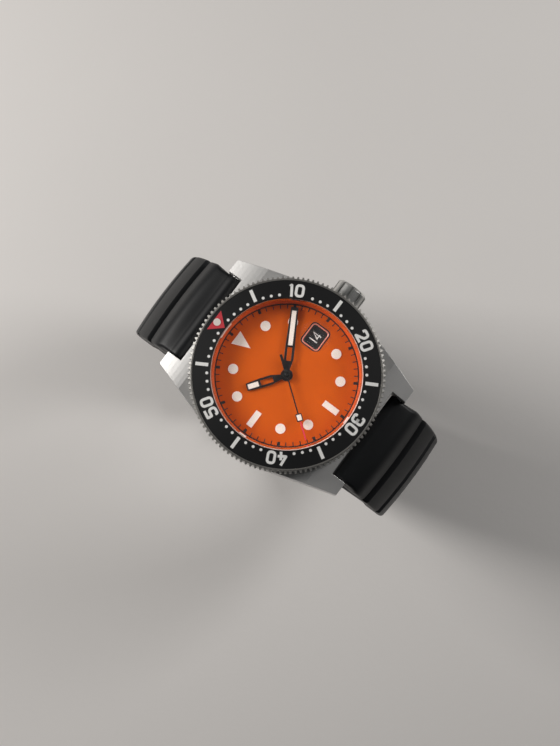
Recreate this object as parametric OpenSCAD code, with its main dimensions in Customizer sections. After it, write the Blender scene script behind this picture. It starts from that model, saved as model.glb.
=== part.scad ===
// Dive watch with a turning bezel, an automatic movement and a ribbed rubber strap,
// buckled as worn. Millimetres.
// +Z is the way the dial faces, +X points to 3 o'clock and +Y to 12 o'clock.
// The origin is on the hand axis, at the outer face of the caseback.

/* [Case] */
// Distance that the bezel's teeth stand out over the round part of the case
bezel_overhang = 0.6; // [0.4:0.05:0.9]
// Height from the caseback's outer face to the underside of the case
back_flange_h = 1.2; // [0.9:0.1:1.6]
// Height of the case from its underside to the flat under the bezel
case_h = 7.5; // [7.1:0.1:9]
// Distance from the spring bar's axis to the tip of the lug
lug_reach = 1.55; // [1.4:0.05:2]
// Width of a lug
lug_w = 3; // [2.7:0.1:3.5]
// Depth of the flat wall between the lugs into the round part of the case
end_wall_in = 0.2; // [0.1:0.05:0.3]
// Length of the lug tops that bends down
lug_bend_len = 10.5; // [9.5:0.1:11.5]
// Radius of the bend along the top of the lugs
lug_bend_r = 28; // [24:0.5:34]
// Height of the lug tips' underside
lug_tip_z = 0.7; // [0.4:0.1:1]
// Height of the neck that carries the bezel and the crystal
neck_h = 2.8; // [2.6:0.1:3.4]
// Wall of the neck around the crystal gasket
neck_wall = 1.6; // [1.4:0.1:1.7]
// Thickness of the ledge under the crystal gasket
ledge_t = 0.25; // [0.2:0.05:0.35]
// Width of the ledge under the rim of the dial and the sloping ring
bore_step = 0.35; // [0.3:0.05:0.4]
// Width of the step from the movement's bore out to the caseback's thread
back_thread_step = 0.6; // [0.5:0.05:0.8]
// Radius of the spring bars that hold the strap
lug_bar_r = 0.75; // [0.6:0.05:0.85]
// Depth of the spring bar holes in the lugs
lug_bar_hole = 1.4; // [1:0.1:1.8]
// Height of the spring bar holes
lug_bar_z = 3.3; // [3:0.1:3.6]

/* [Caseback] */
// Width of the caseback's flange outside its thread
back_flange_w = 0.95; // [0.9:0.05:1.2]
// Thickness of the caseback's plate
back_t = 1.7; // [1.4:0.1:1.8]
// Wall of the caseback's threaded ring
back_ring_wall = 1.1; // [0.9:0.1:1.3]
// Number of wrench notches
back_notches = 6; // [4:1:8]
// Width of a wrench notch
back_notch_w = 2.4; // [1.8:0.1:3]
// Depth of a wrench notch
back_notch_depth = 0.5; // [0.3:0.1:0.6]
// Thickness of the caseback gasket
back_gasket_d = 0.6; // [0.5:0.05:0.7]

/* [Crystal] */
// Diameter of the crystal
crystal_d = 30.6; // [30.4:0.1:30.8]
// Width of the gasket around the crystal
crystal_gasket_w = 0.5; // [0.4:0.05:0.6]
// Thickness of the crystal
crystal_t = 2.25; // [2:0.05:2.6]
// Bevel around the crystal's top edge
crystal_bevel = 0.3; // [0.2:0.05:0.5]
// Depth that the crystal sits in the neck
crystal_seat = 0.75; // [0.6:0.05:0.9]
// Diameter of the date magnifier
lens_d = 6.4; // [5.5:0.1:7]
// Thickness of the date magnifier
lens_t = 0.3; // [0.25:0.05:0.4]
// Radius of the magnifier's domed face
lens_dome_r = 24; // [22:1:30]

/* [Bezel] */
// Width of the bezel from the neck to the tips of its teeth
bezel_w = 2.6; // [2.5:0.05:3]
// Number of teeth, the same as the number of clicks
bezel_teeth = 120; // [60:60:120]
// Depth of the bezel's teeth
bezel_tooth_depth = 0.5; // [0.3:0.05:0.6]
// Height of the bezel ring above its running gap
bezel_h = 3.1; // [2.9:0.05:3.4]
// Gap between the case and the bezel
bezel_gap = 0.35; // [0.3:0.05:0.5]
// Width of the metal lip around the insert
bezel_lip = 0.35; // [0.25:0.05:0.45]
// Gap between the crystal and the insert's hole
insert_gap = 0.15; // [0.1:0.05:0.3]
// Thickness of the insert at its outer edge
insert_t = 0.55; // [0.45:0.05:0.7]
// Rise of the insert's top from its outer to its inner edge
insert_rise = 0.4; // [0.2:0.05:0.6]
// Distance of the luminous pip's middle from the insert's outer edge
pip_in = 1.55; // [1.4:0.05:1.8]
// Diameter of the luminous pip
pip_d = 1.5; // [1.2:0.1:1.7]
// Height of the click teeth inside the bezel
click_h = 0.4; // [0.3:0.05:0.5]
// Depth of the click teeth
click_depth = 0.45; // [0.3:0.05:0.5]
// Thickness of the click spring
click_spring_t = 0.2; // [0.15:0.05:0.2]
// Thickness of the wire that holds the bezel
wire_d = 0.56; // [0.4:0.02:0.6]

/* [Crown] */
// Diameter of the crown
crown_d = 6.7; // [6.2:0.1:6.9]
// Length of the crown
crown_len = 3.3; // [3:0.1:3.8]
// Gap between the crown and the case when pushed in
crown_gap = 0.3; // [0.2:0.05:0.4]
// Number of flutes around the crown
crown_flutes = 10; // [8:1:14]
// Width of a flute
flute_w = 0.5; // [0.35:0.05:0.6]
// Depth of a flute
flute_depth = 0.35; // [0.25:0.05:0.45]
// Distance that the crown pulls out
crown_travel = 1.8; // [1.4:0.1:2]
// Outer radius of the crown tube
tube_r = 1.5; // [1.4:0.05:1.6]
// Radius of the crown tube's bore
tube_bore_r = 0.8; // [0.75:0.05:0.9]
// Length that the tube stands out of the case
tube_out = 1.7; // [1.4:0.1:1.8]
// Thickness of the crown's gasket
crown_gasket_d = 0.4; // [0.3:0.05:0.45]
// Radius of the winding stem
stem_r = 0.5; // [0.45:0.05:0.55]

/* [Dial and hands] */
// Height of the sloping ring between dial and crystal
rehaut_h = 1.8; // [1.7:0.05:2.2]
// Width of the sloping ring where it meets the dial
rehaut_w = 0.95; // [0.8:0.05:1.1]
// Thickness of the dial
dial_t = 0.3; // [0.25:0.05:0.4]
// Gap between the rim of the dial and the bore
dial_gap = 0.15; // [0.1:0.05:0.2]
// Distance from the hand axis to the middle of the date window
date_x = 9.75; // [9.6:0.05:9.9]
// Length of the date window along the radius
date_len = 3.4; // [3:0.1:3.5]
// Width of the date window
date_wid = 2.8; // [2.4:0.1:3]
// Corner radius of the date window
date_corner = 0.4; // [0.2:0.05:0.6]
// Thickness of the luminous markers
marker_t = 0.12; // [0.08:0.02:0.2]
// Distance of the round markers from the hand axis
dot_ring_r = 10.95; // [10.7:0.05:11.2]
// Radius of the round markers
dot_r = 1.02; // [0.9:0.02:1.2]
// Length of the bar markers at 6 and 9
baton_len = 3.5; // [3:0.1:3.7]
// Distance of the middle of the bar markers from the hand axis
baton_ring_r = 11.1; // [10.9:0.05:11.3]
// Width of the bar markers
baton_wid = 1.27; // [1:0.05:1.5]
// Distance from the hand axis to the base of the triangle at 12
wedge_out = 12.9; // [12.7:0.1:13.1]
// Distance from the hand axis to the tip of the triangle at 12
wedge_in = 9.2; // [8.9:0.1:9.5]
// Width of the triangle's base
wedge_wid = 3.1; // [2.8:0.1:3.3]
// Thickness of the hands
hand_t = 0.15; // [0.1:0.01:0.18]
// Height from the dial to the underside of the hour hand
hour_hand_lift = 0.35; // [0.3:0.05:0.4]
// Rise from each hand to the next
hand_step = 0.4; // [0.35:0.05:0.4]
// Gap between the tip of the minute hand and the rehaut ring
minute_tip_gap = 0.75; // [0.5:0.05:1.1]
// Length of the hour hand
hour_len = 8.5; // [8.2:0.05:8.7]
// Gap between the tip of the seconds hand and the rehaut ring
seconds_tip_gap = 0.9; // [0.5:0.05:1.1]
// Length of the seconds hand's tail
seconds_tail = 4.3; // [4:0.05:4.6]
// Distance from the hand axis to the middle of the seconds hand's frame
seconds_frame_r = 9.05; // [8.9:0.05:9.3]
// Clockwise angle of the hour hand from 12
hour_angle = 306; // [300:1:312]
// Clockwise angle of the minute hand from 12
minute_angle = 60; // [54:1:66]
// Clockwise angle of the seconds hand from 12
seconds_angle = 217; // [210:1:224]

/* [Movement] */
// Diameter of the movement
movement_d = 25.4; // [25.2:0.1:25.6]
// Thickness of the main plate
plate_t = 2; // [1.9:0.05:2.2]
// Gap between main plate and dial that takes the date disc
date_room = 0.4; // [0.35:0.05:0.5]
// Depth of the recess for the motion work
motion_depth = 0.6; // [0.55:0.05:0.7]
// Radius of the recess for the motion work
motion_r = 7.4; // [7:0.1:7.6]
// Height of the space between main plate and bridges
train_h = 2.5; // [2.5:0.05:2.7]
// Thickness of the bridges
bridge_t = 0.6; // [0.5:0.05:0.65]
// Wall of the main plate's rim
plate_rim = 0.65; // [0.5:0.05:0.75]
// Depth of the winding stem's axis below the main plate
stem_drop = 1; // [0.95:0.05:1.05]
// Thickness of the automatic bridge
auto_bridge_t = 0.3; // [0.25:0.05:0.35]
// Radius of the automatic bridge
auto_bridge_r = 5.5; // [4.8:0.1:6]
// Radius of the rotor's bearing
bearing_r = 1.6; // [1.4:0.1:1.8]
// Height of the rotor's bearing
bearing_h = 0.65; // [0.6:0.05:0.7]
// Thickness of the rotor's plate
rotor_t = 0.25; // [0.2:0.05:0.3]
// Thickness of the rotor's rim
rotor_rim_t = 0.7; // [0.6:0.05:0.7]
// Width of the rotor's rim
rotor_rim_w = 2.2; // [1.8:0.1:2.6]
// Radius of the pivots that turn in jewels
pivot_r = 0.1; // [0.08:0.01:0.12]
// Radius of the jewels
jewel_r = 0.55; // [0.5:0.01:0.6]
// Thickness of the jewels
jewel_t = 0.3; // [0.25:0.05:0.35]
// Distance of the balance from the hand axis
balance_ring_r = 8.2; // [8.1:0.05:8.3]
// Radius of the balance wheel
balance_r = 3.6; // [3.4:0.05:3.65]
// Radius of the escape wheel
escape_r = 2.1; // [1.9:0.05:2.15]
// Teeth of the escape wheel
escape_teeth = 20; // [15:1:21]
// Module of the barrel's teeth
barrel_module = 0.15; // [0.148:0.001:0.151]
// Module of the centre wheel's teeth
centre_module = 0.11; // [0.108:0.001:0.112]
// Module of the fourth wheel's teeth
fourth_module = 0.108; // [0.107:0.0005:0.1095]
// Module of the motion work's first pair
motion_module = 0.125; // [0.12:0.001:0.13]
// Module of the winding wheels' teeth
winding_module = 0.15; // [0.149:0.0005:0.151]
// Inner radius of the date disc
date_disc_in = 8; // [7.9:0.05:8.1]
// Outer radius of the date disc
date_disc_out = 11.45; // [11.3:0.05:11.6]

/* [Strap] */
// Width of the strap at the lugs
strap_w = 20.4; // [20:0.1:20.6]
// How much narrower the strap is at the buckle than at the lugs
strap_taper = 2.4; // [2:0.1:3.4]
// Half of the closed loop's width, to the middle of the strap's thickness
loop_half_w = 30.9; // [30:0.1:32]
// Depth of the closed loop below the caseback, to the middle of the strap's thickness
loop_depth = 46; // [44:0.5:48]
// Thickness of the strap over its ribs at the edges
rib_t = 4.1; // [3.8:0.1:4.3]
// Thickness of the strap at the buckle
tail_t = 2.4; // [2.2:0.1:2.6]
// Extra thickness along the strap's middle, at the ribs
rib_crown = 0.5; // [0.3:0.1:0.8]
// Distance that the ribs stand out sideways once past the lugs, on each side
rib_flare = 0.4; // [0.2:0.1:0.6]
// Height of the shoulder where the first rib folds over, above the other ribs
rib_shoulder = 0.9; // [0.5:0.1:1.1]
// Extra thickness along the strap's middle, at the buckle
tail_crown = 0.2; // [0.1:0.05:0.3]
// Number of ribs at each lug
rib_count = 4; // [3:1:5]
// Angle around the loop from one rib to the next
rib_pitch = 15.5; // [14:0.5:16]
// Depth of the grooves between the ribs
groove_depth = 1.4; // [1.2:0.1:1.5]
// Radius of the strap's round end on its spring bar
strap_end_r = 1.6; // [1.5:0.05:1.65]
// Length of the slots for the buckle's tang
slot_len = 4.9; // [4.6:0.1:5.2]
// Width of the slots
slot_w = 2.4; // [2.2:0.1:2.8]
// Angle around the loop from one slot to the next
slot_pitch = 12.5; // [12:0.5:14]
// Angle from the bottom of the loop to the end of the tail
tail_reach = 52; // [50:1:54]

/* [Buckle and keepers] */
// Angle from the bottom of the loop to the buckle's spring bar
buckle_half_angle = 9.5; // [9.2:0.1:10]
// Radius of the buckle's spring bar
buckle_bar_r = 0.7; // [0.6:0.05:0.75]
// Radius of the rubber around the buckle's spring bar
buckle_eye_r = 1.25; // [1.2:0.05:1.3]
// Width of the buckle's arms across the strap
buckle_arm_w = 1.6; // [1.4:0.1:2]
// Thickness of the buckle's arms
buckle_arm_t = 2.2; // [2:0.1:2.4]
// Width of the tang
tang_w = 1.8; // [1.6:0.1:1.8]
// Thickness of the tang
tang_t = 0.9; // [0.8:0.05:1]
// Length of a keeper along the strap
keeper_len = 4.5; // [4:0.1:5]
// Wall of a keeper
keeper_wall = 0.9; // [0.7:0.1:1.1]
// Angle from the bottom of the loop to the fixed keeper
keeper_fixed_angle = 27; // [26:0.5:28]
// Angle from the bottom of the loop to the free keeper
keeper_free_angle = 41; // [40:0.5:43]

/* [Clearances] */
// Radial gap around a turning shaft or pin
running = 0.05; // [0.03:0.01:0.08]
// Radial gap around a pivot in its jewel
pivot_gap = 0.03; // [0.02:0.01:0.05]
// Gap around a part that is fitted and stays still
fitted = 0.02; // [0.01:0.01:0.04]
// Gap between the strap and a lug
lug_side_gap = 0.15; // [0.1:0.05:0.2]
// Gap between the strap's round end and the wall between the lugs
end_gap = 0.15; // [0.1:0.05:0.2]
// Gap between soft parts and what moves near them
soft_gap = 0.3; // [0.25:0.05:0.35]

/* [Hidden] */
$fn = 48;
eps = 0.01;

// Heights of the case, from the caseback's outer face up
case_bottom = back_flange_h;
case_top = case_bottom + case_h;
neck_top = case_top + neck_h;
ledge_top = neck_top - crystal_seat;
ledge_z = ledge_top - ledge_t;
crystal_top = ledge_top + crystal_t;
dial_top = ledge_z - rehaut_h;
dial_z = dial_top - dial_t;
bezel_z = case_top + bezel_gap;
bezel_top = bezel_z + bezel_h;
insert_z = bezel_top - insert_t;

// Heights of the movement, from the dial down
plate_top = dial_z - date_room;
plate_z = plate_top - plate_t;
motion_z = plate_top - motion_depth;
bridge_top = plate_z - train_h;
bridge_z = bridge_top - bridge_t;
auto_z = bridge_z - auto_bridge_t;
bearing_z = auto_z - bearing_h;
stem_z = plate_z - stem_drop;

// Radii of the case, from the crystal out
crystal_r = crystal_d / 2;
seat_r = crystal_r + crystal_gasket_w;
neck_r = seat_r + neck_wall;
insert_bore_r = crystal_r + insert_gap;
bezel_r = neck_r + bezel_w;
case_r = bezel_r - bezel_overhang;
bore_r = crystal_r + bore_step;
rehaut_in_r = bore_r - rehaut_w;
minute_len = rehaut_in_r - minute_tip_gap;
seconds_len = rehaut_in_r - seconds_tip_gap;
back_thread_r = bore_r + back_thread_step;
back_r = back_thread_r + back_flange_w;
movement_r = movement_d / 2;
end_wall = case_r - end_wall_in;
lug_bar_y = end_wall + end_gap + strap_end_r;
lug_gap = strap_w + 2 * lug_side_gap;
strap_tail_w = strap_w - strap_taper;
crown_x = case_r + crown_gap;
crown_end = crown_x + crown_len;
crown_r = crown_d / 2;
crown_bore_r = tube_r + running + 0.1;
crown_floor = case_r + tube_out + 0.2;
crown_gasket_x = crown_x + 0.8;
crown_gasket_r = tube_r + pivot_gap + crown_gasket_d / 2;

// Wheel teeth: wheel and pinion counts of the going train and of the motion work
barrel_n = 72;
centre_pinion_n = 12;
centre_n = 80;
third_pinion_n = 10;
third_n = 75;
fourth_pinion_n = 10;
fourth_n = 80;
escape_pinion_n = 8;
cannon_n = 12;
minute_n = 36;
minute_pinion_n = 10;
hour_n = 40;
ratchet_n = 64;
crown_wheel_n = 24;
winding_n = 14;

// Places of the arbors
function mesh(n1, n2, m) = (n1 + n2) * m / 2;
function polar(r, a) = [r * cos(a), r * sin(a)];
barrel_a = 60;
barrel_p = polar(mesh(barrel_n, centre_pinion_n, barrel_module), barrel_a);
third_a = -97;
third_d = mesh(centre_n, third_pinion_n, centre_module);
third_p = polar(third_d, third_a);
third_module = 2 * third_d / (third_n + fourth_pinion_n);
escape_a = -35;
escape_p = polar(mesh(fourth_n, escape_pinion_n, fourth_module), escape_a);
balance_p = polar(balance_ring_r, -59);
balance_way = (balance_p - escape_p) / norm(balance_p - escape_p);
balance_a = atan2(balance_way[1], balance_way[0]);
pallet_d = 2.6;
pallet_post_x = 4.2;
pallet_p = escape_p + pallet_d * balance_way;
motion_a = 200;
motion_d = mesh(cannon_n, minute_n, motion_module);
motion_p = polar(motion_d, motion_a);
hour_module = 2 * motion_d / (minute_pinion_n + hour_n);
winding_d = mesh(ratchet_n, crown_wheel_n, winding_module);
crown_wheel_p = [barrel_p[0] + sqrt(winding_d ^ 2 - barrel_p[1] ^ 2), 0];
crown_wheel_r = crown_wheel_n * winding_module / 2;
winding_x = crown_wheel_p[0] + crown_wheel_r;
winding_a = atan2(barrel_p[1] - crown_wheel_p[1], barrel_p[0] - crown_wheel_p[0]);

// Levels in the movement, as depths below the main plate
centre_drop = 0.5;
third_drop = 1.6;
fourth_drop = 2.15;
winding_drop = 2.45;
barrel_drop = 1.9;
barrel_teeth_drop = 1.1;
escape_drop = 1.05;
balance_drop = 2.1;
pallet_bridge_drop = 1.2;
centre_wheel_z = plate_z - centre_drop;
third_wheel_z = plate_z - third_drop;
fourth_wheel_z = plate_z - fourth_drop;
winding_wheel_z = plate_z - winding_drop;
barrel_z = plate_z - barrel_drop;
barrel_h = 1.25;
barrel_teeth_z = plate_z - barrel_teeth_drop;
escape_z = plate_z - escape_drop;
balance_z = plate_z - balance_drop;
pallet_bridge_t = 0.18;
pallet_bridge_z = plate_z - pallet_bridge_drop - pallet_bridge_t;
pallet_post_p = pallet_p + [pallet_post_x, 0];
rotor_lift = 0.12;
rotor_z = bearing_z + rotor_lift;
wheel_t = 0.15;
centre_wheel_t = 0.2;
motion_stud_r = 0.3;
barrel_arbor_r = 0.6;

// Levels of the hands and of the wheels that carry them
hour_hand_z = dial_top + hour_hand_lift;
minute_hand_z = hour_hand_z + hand_step;
seconds_hand_z = minute_hand_z + hand_step;
hour_wheel_z = motion_z + 0.55;
cannon_r = 0.7;
cannon_bore_r = 0.4;
hour_pipe_r = 1.1;
hub_r = 1.24;

// Outline of a toothed wheel, its first tooth on the +X axis
function gear_outline(n, m) = [for (i = [0 : n - 1], k = [0 : 3])
    polar(m * (n / 2 + [-1.15, 0.85, 0.85, -1.15][k]), (i + [-0.3, -0.11, 0.11, 0.3][k]) * 360 / n)];

// A toothed wheel of height h from level z, turned so that a tooth points to angle a
module gear(n, m, z, h, a = 0) {
    translate([0, 0, z])
        rotate(a)
            linear_extrude(h)
                polygon(gear_outline(n, m));
}

// A round bar from level z0 to level z1
module post(r, z0, z1) {
    translate([0, 0, z0])
        cylinder(r = r, h = z1 - z0);
}

// A round bar along X from x0 to x1
module bar_x(r, x0, x1) {
    translate([x0, 0, 0])
        rotate([0, 90, 0])
            cylinder(r = r, h = x1 - x0);
}

// A flat ring from level z0 to level z1
module ring(r_out, r_in, z0, z1) {
    difference() {
        post(r_out, z0, z1);
        post(r_in, z0 - eps, z1 + eps);
    }
}

// An arbor of radius r with a pivot at each end, running from the bridges to the main plate
module arbor(r, z0, z1) {
    post(r, z0 + running, z1 - running);
    post(pivot_r, z0 - jewel_t / 2, z1 + jewel_t / 2);
}

// A box with round corners in plan
module round_box(w, d, r, z0, z1) {
    translate([-w / 2 + r, -d / 2, z0])
        cube([w - 2 * r, d, z1 - z0]);
    translate([-w / 2, -d / 2 + r, z0])
        cube([w, d - 2 * r, z1 - z0]);
    for (sx = [-1, 1], sy = [-1, 1])
        translate([sx * (w / 2 - r), sy * (d / 2 - r), z0])
            cylinder(r = r, h = z1 - z0, $fn = 24);
}

// ---- Case ----

// Outline of the case from above: a circle with straight flanks out to the lug tips
tip = [lug_gap / 2 + lug_w, lug_bar_y + lug_reach];
flank_a = atan2(tip[1], tip[0]) - acos(case_r / norm(tip));
flank = polar(case_r, flank_a);
tip_corner = 0.2;
module case_plan() {
    translate([0, 0, lug_tip_z - 1])
        linear_extrude(case_top)
            polygon([flank, tip - [0, tip_corner], tip - [tip_corner, 0],
                [tip_corner - tip[0], tip[1]], [-tip[0], tip[1] - tip_corner], [-flank[0], flank[1]],
                -flank, [-tip[0], tip_corner - tip[1]], [tip_corner - tip[0], -tip[1]],
                [tip[0] - tip_corner, -tip[1]], [tip[0], tip_corner - tip[1]], [flank[0], -flank[1]]]);
    post(case_r, lug_tip_z - 1, case_top);
}

// Side outline of the case: flat on top, bending down to the lug tips
lug_bend_start = tip[1] - lug_bend_len;
bend_end = asin((lug_bend_len + 1) / lug_bend_r);
function bend(side) = [for (i = [0 : 12]) let (a = (side > 0 ? 12 - i : i) * bend_end / 12)
    [side * (lug_bend_start + lug_bend_r * sin(a)), case_top - lug_bend_r * (1 - cos(a))]];
module case_side() {
    rotate([90, 0, 90])
        translate([0, 0, -case_r - 1])
            linear_extrude(2 * case_r + 2)
                polygon(concat(bend(1), bend(-1), [[-tip[1] - 1, lug_tip_z], [-tip[1] + 4, case_bottom],
                    [tip[1] - 4, case_bottom], [tip[1] + 1, lug_tip_z]]));
}

module lug_gaps() {
    for (s = [0, 180])
        rotate(s)
            translate([-lug_gap / 2, end_wall, -1])
                cube([lug_gap, tip[1], case_top + 2]);
}

module lug_bar_holes() {
    for (s = [-1, 1])
        translate([0, s * lug_bar_y, lug_bar_z])
            bar_x(lug_bar_r + fitted, -lug_gap / 2 - lug_bar_hole, lug_gap / 2 + lug_bar_hole);
}

module case_middle() {
    color("silver")
        difference() {
            union() {
                intersection() {
                    case_plan();
                    case_side();
                }
                post(neck_r, case_bottom + 1, neck_top);
            }
            lug_gaps();
            lug_bar_holes();
            post(back_thread_r, -1, bridge_top);
            post(bore_r, case_bottom, ledge_z);
            post(crystal_r, case_bottom, neck_top + 1);
            post(seat_r, ledge_top, neck_top + 1);
            translate([0, 0, stem_z])
                bar_x(tube_r + fitted, 0, case_r + 1);
            translate([0, 0, case_bottom])
                rotate_extrude($fn = 96)
                    translate([back_gasket_r, 0])
                        circle(r = back_gasket_d / 2 + fitted, $fn = 24);
            rotate_extrude($fn = 96)
                translate([neck_r, wire_z])
                    circle(r = wire_d / 2 + running, $fn = 24);
        }
}

module crown_tube() {
    color("lightgray")
        translate([0, 0, stem_z])
            difference() {
                bar_x(tube_r, bore_r + 0.1, case_r + tube_out);
                bar_x(tube_bore_r, bore_r - 1, case_r + tube_out + 1);
            }
}

back_gasket_r = (back_thread_r + back_r) / 2;
module caseback() {
    color("silver")
        difference() {
            union() {
                post(back_r, 0, case_bottom);
                post(back_thread_r - running, case_bottom - eps, bridge_top);
            }
            post(back_thread_r - back_ring_wall, back_t, bridge_top + 1);
            translate([0, 0, case_bottom])
                rotate_extrude($fn = 96)
                    translate([back_gasket_r, 0])
                        circle(r = back_gasket_d / 2 + fitted, $fn = 24);
            for (i = [0 : back_notches - 1])
                rotate((i + 0.5) * 360 / back_notches)
                    translate([back_r - 2.2, -back_notch_w / 2, -1])
                        cube([3, back_notch_w, 1 + back_notch_depth]);
        }
}

module caseback_gasket() {
    color("black")
        translate([0, 0, case_bottom])
            rotate_extrude($fn = 96)
                translate([back_gasket_r, 0])
                    circle(r = back_gasket_d / 2, $fn = 24);
}

module crystal() {
    color("lightblue", 0.4)
        rotate_extrude($fn = 96)
            polygon([[0, ledge_top], [crystal_r - fitted, ledge_top],
                [crystal_r - fitted, crystal_top - crystal_bevel],
                [crystal_r - crystal_bevel, crystal_top], [0, crystal_top]]);
}

module crystal_gasket() {
    color("white")
        ring(seat_r - fitted, crystal_r, ledge_top, neck_top);
}

// Profile of the magnifier: flat against the crystal and domed towards the date
module date_magnifier() {
    dome_a = asin(lens_d / 2 / lens_dome_r);
    color("lightblue", 0.4)
        translate([date_x, 0, ledge_top - lens_t])
            rotate_extrude($fn = 64)
                polygon(concat([[0, lens_t]],
                    [for (i = [0 : 8])
                        [lens_dome_r * sin(dome_a * i / 8), lens_dome_r * (1 - cos(dome_a * i / 8))]],
                    [[lens_d / 2, lens_t]]));
}

module rehaut_ring() {
    color("orangered")
        rotate_extrude($fn = 96)
            polygon([[rehaut_in_r, dial_top], [bore_r - running, dial_top],
                [bore_r - running, ledge_z], [crystal_r, ledge_z]]);
}

// ---- Dial ----

dial_foot_r = movement_r - plate_rim / 2 - 0.1;
dial_foot_angles = [100, 280];
foot_r = 0.2;
foot_len = 1.2;
hand_hole_gap = 0.15;
module dial() {
    color("darkorange")
        difference() {
            union() {
                post(bore_r - dial_gap, dial_z, dial_top);
                for (a = dial_foot_angles)
                    rotate(a)
                        translate([dial_foot_r, 0, 0])
                            post(foot_r, dial_z - foot_len, dial_z + eps);
            }
            post(hour_pipe_r + hand_hole_gap, dial_z - 1, dial_top + 1);
            translate([date_x, 0, 0])
                round_box(date_len, date_wid, date_corner, dial_z - 1, dial_top + 1);
        }
}

module hour_markers() {
    color("ivory") {
        translate([0, 0, dial_top])
            linear_extrude(marker_t)
                polygon([[0, wedge_in], [wedge_wid / 2, wedge_out], [-wedge_wid / 2, wedge_out]]);
        for (h = [6, 9])
            rotate(90 - 30 * h)
                translate([baton_ring_r - baton_len / 2, -baton_wid / 2, dial_top])
                    cube([baton_len, baton_wid, marker_t]);
        for (h = [1, 2, 4, 5, 7, 8, 10, 11])
            rotate(90 - 30 * h)
                translate([dot_ring_r, 0, 0])
                    post(dot_r, dial_top, dial_top + marker_t);
    }
}

// ---- Movement: plates and bridges ----

module movement_ring() {
    color("ghostwhite")
        difference() {
            ring(bore_r - fitted, movement_r + fitted, bridge_top, dial_z);
            translate([0, 0, stem_z])
                bar_x(tube_bore_r + 0.4, 0, case_r);
        }
}

// Places of the jewels: [x, y] of each arbor, at the main plate and at the bridges
plate_jewels = [third_p, escape_p, pallet_p, balance_p];
bridge_jewels = [[0, 0], third_p, escape_p, balance_p];
// Places of the bridge screws
screw_r = 0.2;
screw_head_r = 0.45;
screw_head_t = 0.25;
auto_screw_head_t = 0.15;
screw_len = 1.2;
screw_post_r = 0.6;
bridge_screws = [for (a = [20, 95, 150, 190, 245, 288]) polar(movement_r - plate_rim, a)];
auto_screws = [for (a = [45, 165, 255]) polar(auto_bridge_r - 2 * screw_head_r, a)];

module jewel_holes(places, z0, z1) {
    for (p = places)
        translate([p[0], p[1], 0])
            post(jewel_r + fitted, z0, z1);
}

module screw_holes(places, z0, z1) {
    for (p = places)
        translate([p[0], p[1], 0]) {
            post(screw_r + fitted, z0, z1);
            post(screw_head_r + fitted, z0 - 1, z0 + screw_head_t);
        }
}

module main_plate() {
    color("khaki")
        difference() {
            union() {
                post(movement_r, plate_z, plate_top);
                ring(movement_r, movement_r - plate_rim, bridge_top, dial_z);
                for (p = bridge_screws)
                    intersection() {
                        post(movement_r, bridge_top, plate_z + eps);
                        translate([p[0], p[1], 0])
                            post(screw_post_r, bridge_top, plate_z + eps);
                    }
                translate([pallet_post_p[0], pallet_post_p[1], 0])
                    post(screw_post_r, pallet_bridge_z + pallet_bridge_t, plate_z + eps);
            }
            difference() {
                post(motion_r, motion_z, plate_top + 1);
                translate([motion_p[0], motion_p[1], 0])
                    post(motion_stud_r, motion_z - 1, hour_wheel_z + 0.15);
            }
            post(cannon_r + running, plate_z - 1, plate_top);
            jewel_holes(plate_jewels, plate_z - eps, plate_z + jewel_t);
            for (a = dial_foot_angles)
                rotate(a)
                    translate([dial_foot_r, 0, 0])
                        post(foot_r + fitted, dial_z - foot_len - running, dial_z + 1);
            for (p = bridge_screws)
                translate([p[0], p[1], 0])
                    post(screw_r + fitted, bridge_top - 1, bridge_top + screw_len + 0.2);
            translate([0, 0, stem_z]) {
                bar_x(winding_r + 0.15, winding_x - 1, movement_r - plate_rim);
                bar_x(stem_r + 0.15, 0, case_r);
            }
        }
}

// The outline of the bridges as one disc
module bridge_disc() {
    difference() {
        post(movement_r - 0.1, bridge_z, bridge_top);
        screw_holes(bridge_screws, bridge_z, bridge_top + 1);
        screw_holes(auto_screws, bridge_top - 0.4, bridge_top + 1);
        for (p = auto_screws)
            translate([p[0], p[1], 0])
                post(screw_r + fitted, bridge_z - 1, bridge_top + 1);
    }
}

// A block in plan from corner a to corner b, as high as the bridges
module plan_block(a, b) {
    translate([a[0], a[1], bridge_z - 1])
        cube([b[0] - a[0], b[1] - a[1], bridge_t + 2]);
}

bridge_split_y = 1.9;
cock_x = 1.2;
cock_y = -4.7;
cock_out_x = 8.6;
crown_land_x = 5.2;
crown_land_y = -1.6;
bridge_gap = 0.1;
module barrel_bridge() {
    color("gainsboro")
        difference() {
            intersection() {
                bridge_disc();
                union() {
                    plan_block([-movement_r, bridge_split_y], [movement_r, movement_r]);
                    plan_block([crown_land_x, crown_land_y], [movement_r, bridge_split_y + eps]);
                }
            }
            translate([barrel_p[0], barrel_p[1], 0])
                post(barrel_arbor_r + running, bridge_z - 1, bridge_top + 1);
            translate([crown_wheel_p[0], crown_wheel_p[1], 0])
                post(0.5, bridge_top - 0.3, bridge_top + 1);
        }
}

module train_bridge() {
    color("gainsboro")
        difference() {
            bridge_disc();
            plan_block([-movement_r, bridge_split_y - bridge_gap], [movement_r, movement_r]);
            plan_block([crown_land_x - bridge_gap, crown_land_y - bridge_gap],
                [movement_r, bridge_split_y + 1]);
            plan_block([cock_x, -movement_r], [movement_r, cock_y]);
            jewel_holes(bridge_jewels, bridge_top - jewel_t, bridge_top + 1);
        }
}

module balance_cock() {
    color("gainsboro")
        difference() {
            intersection() {
                bridge_disc();
                plan_block([cock_x + bridge_gap, -movement_r], [cock_out_x, cock_y - bridge_gap]);
            }
            jewel_holes(bridge_jewels, bridge_top - jewel_t, bridge_top + 1);
        }
}

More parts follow.
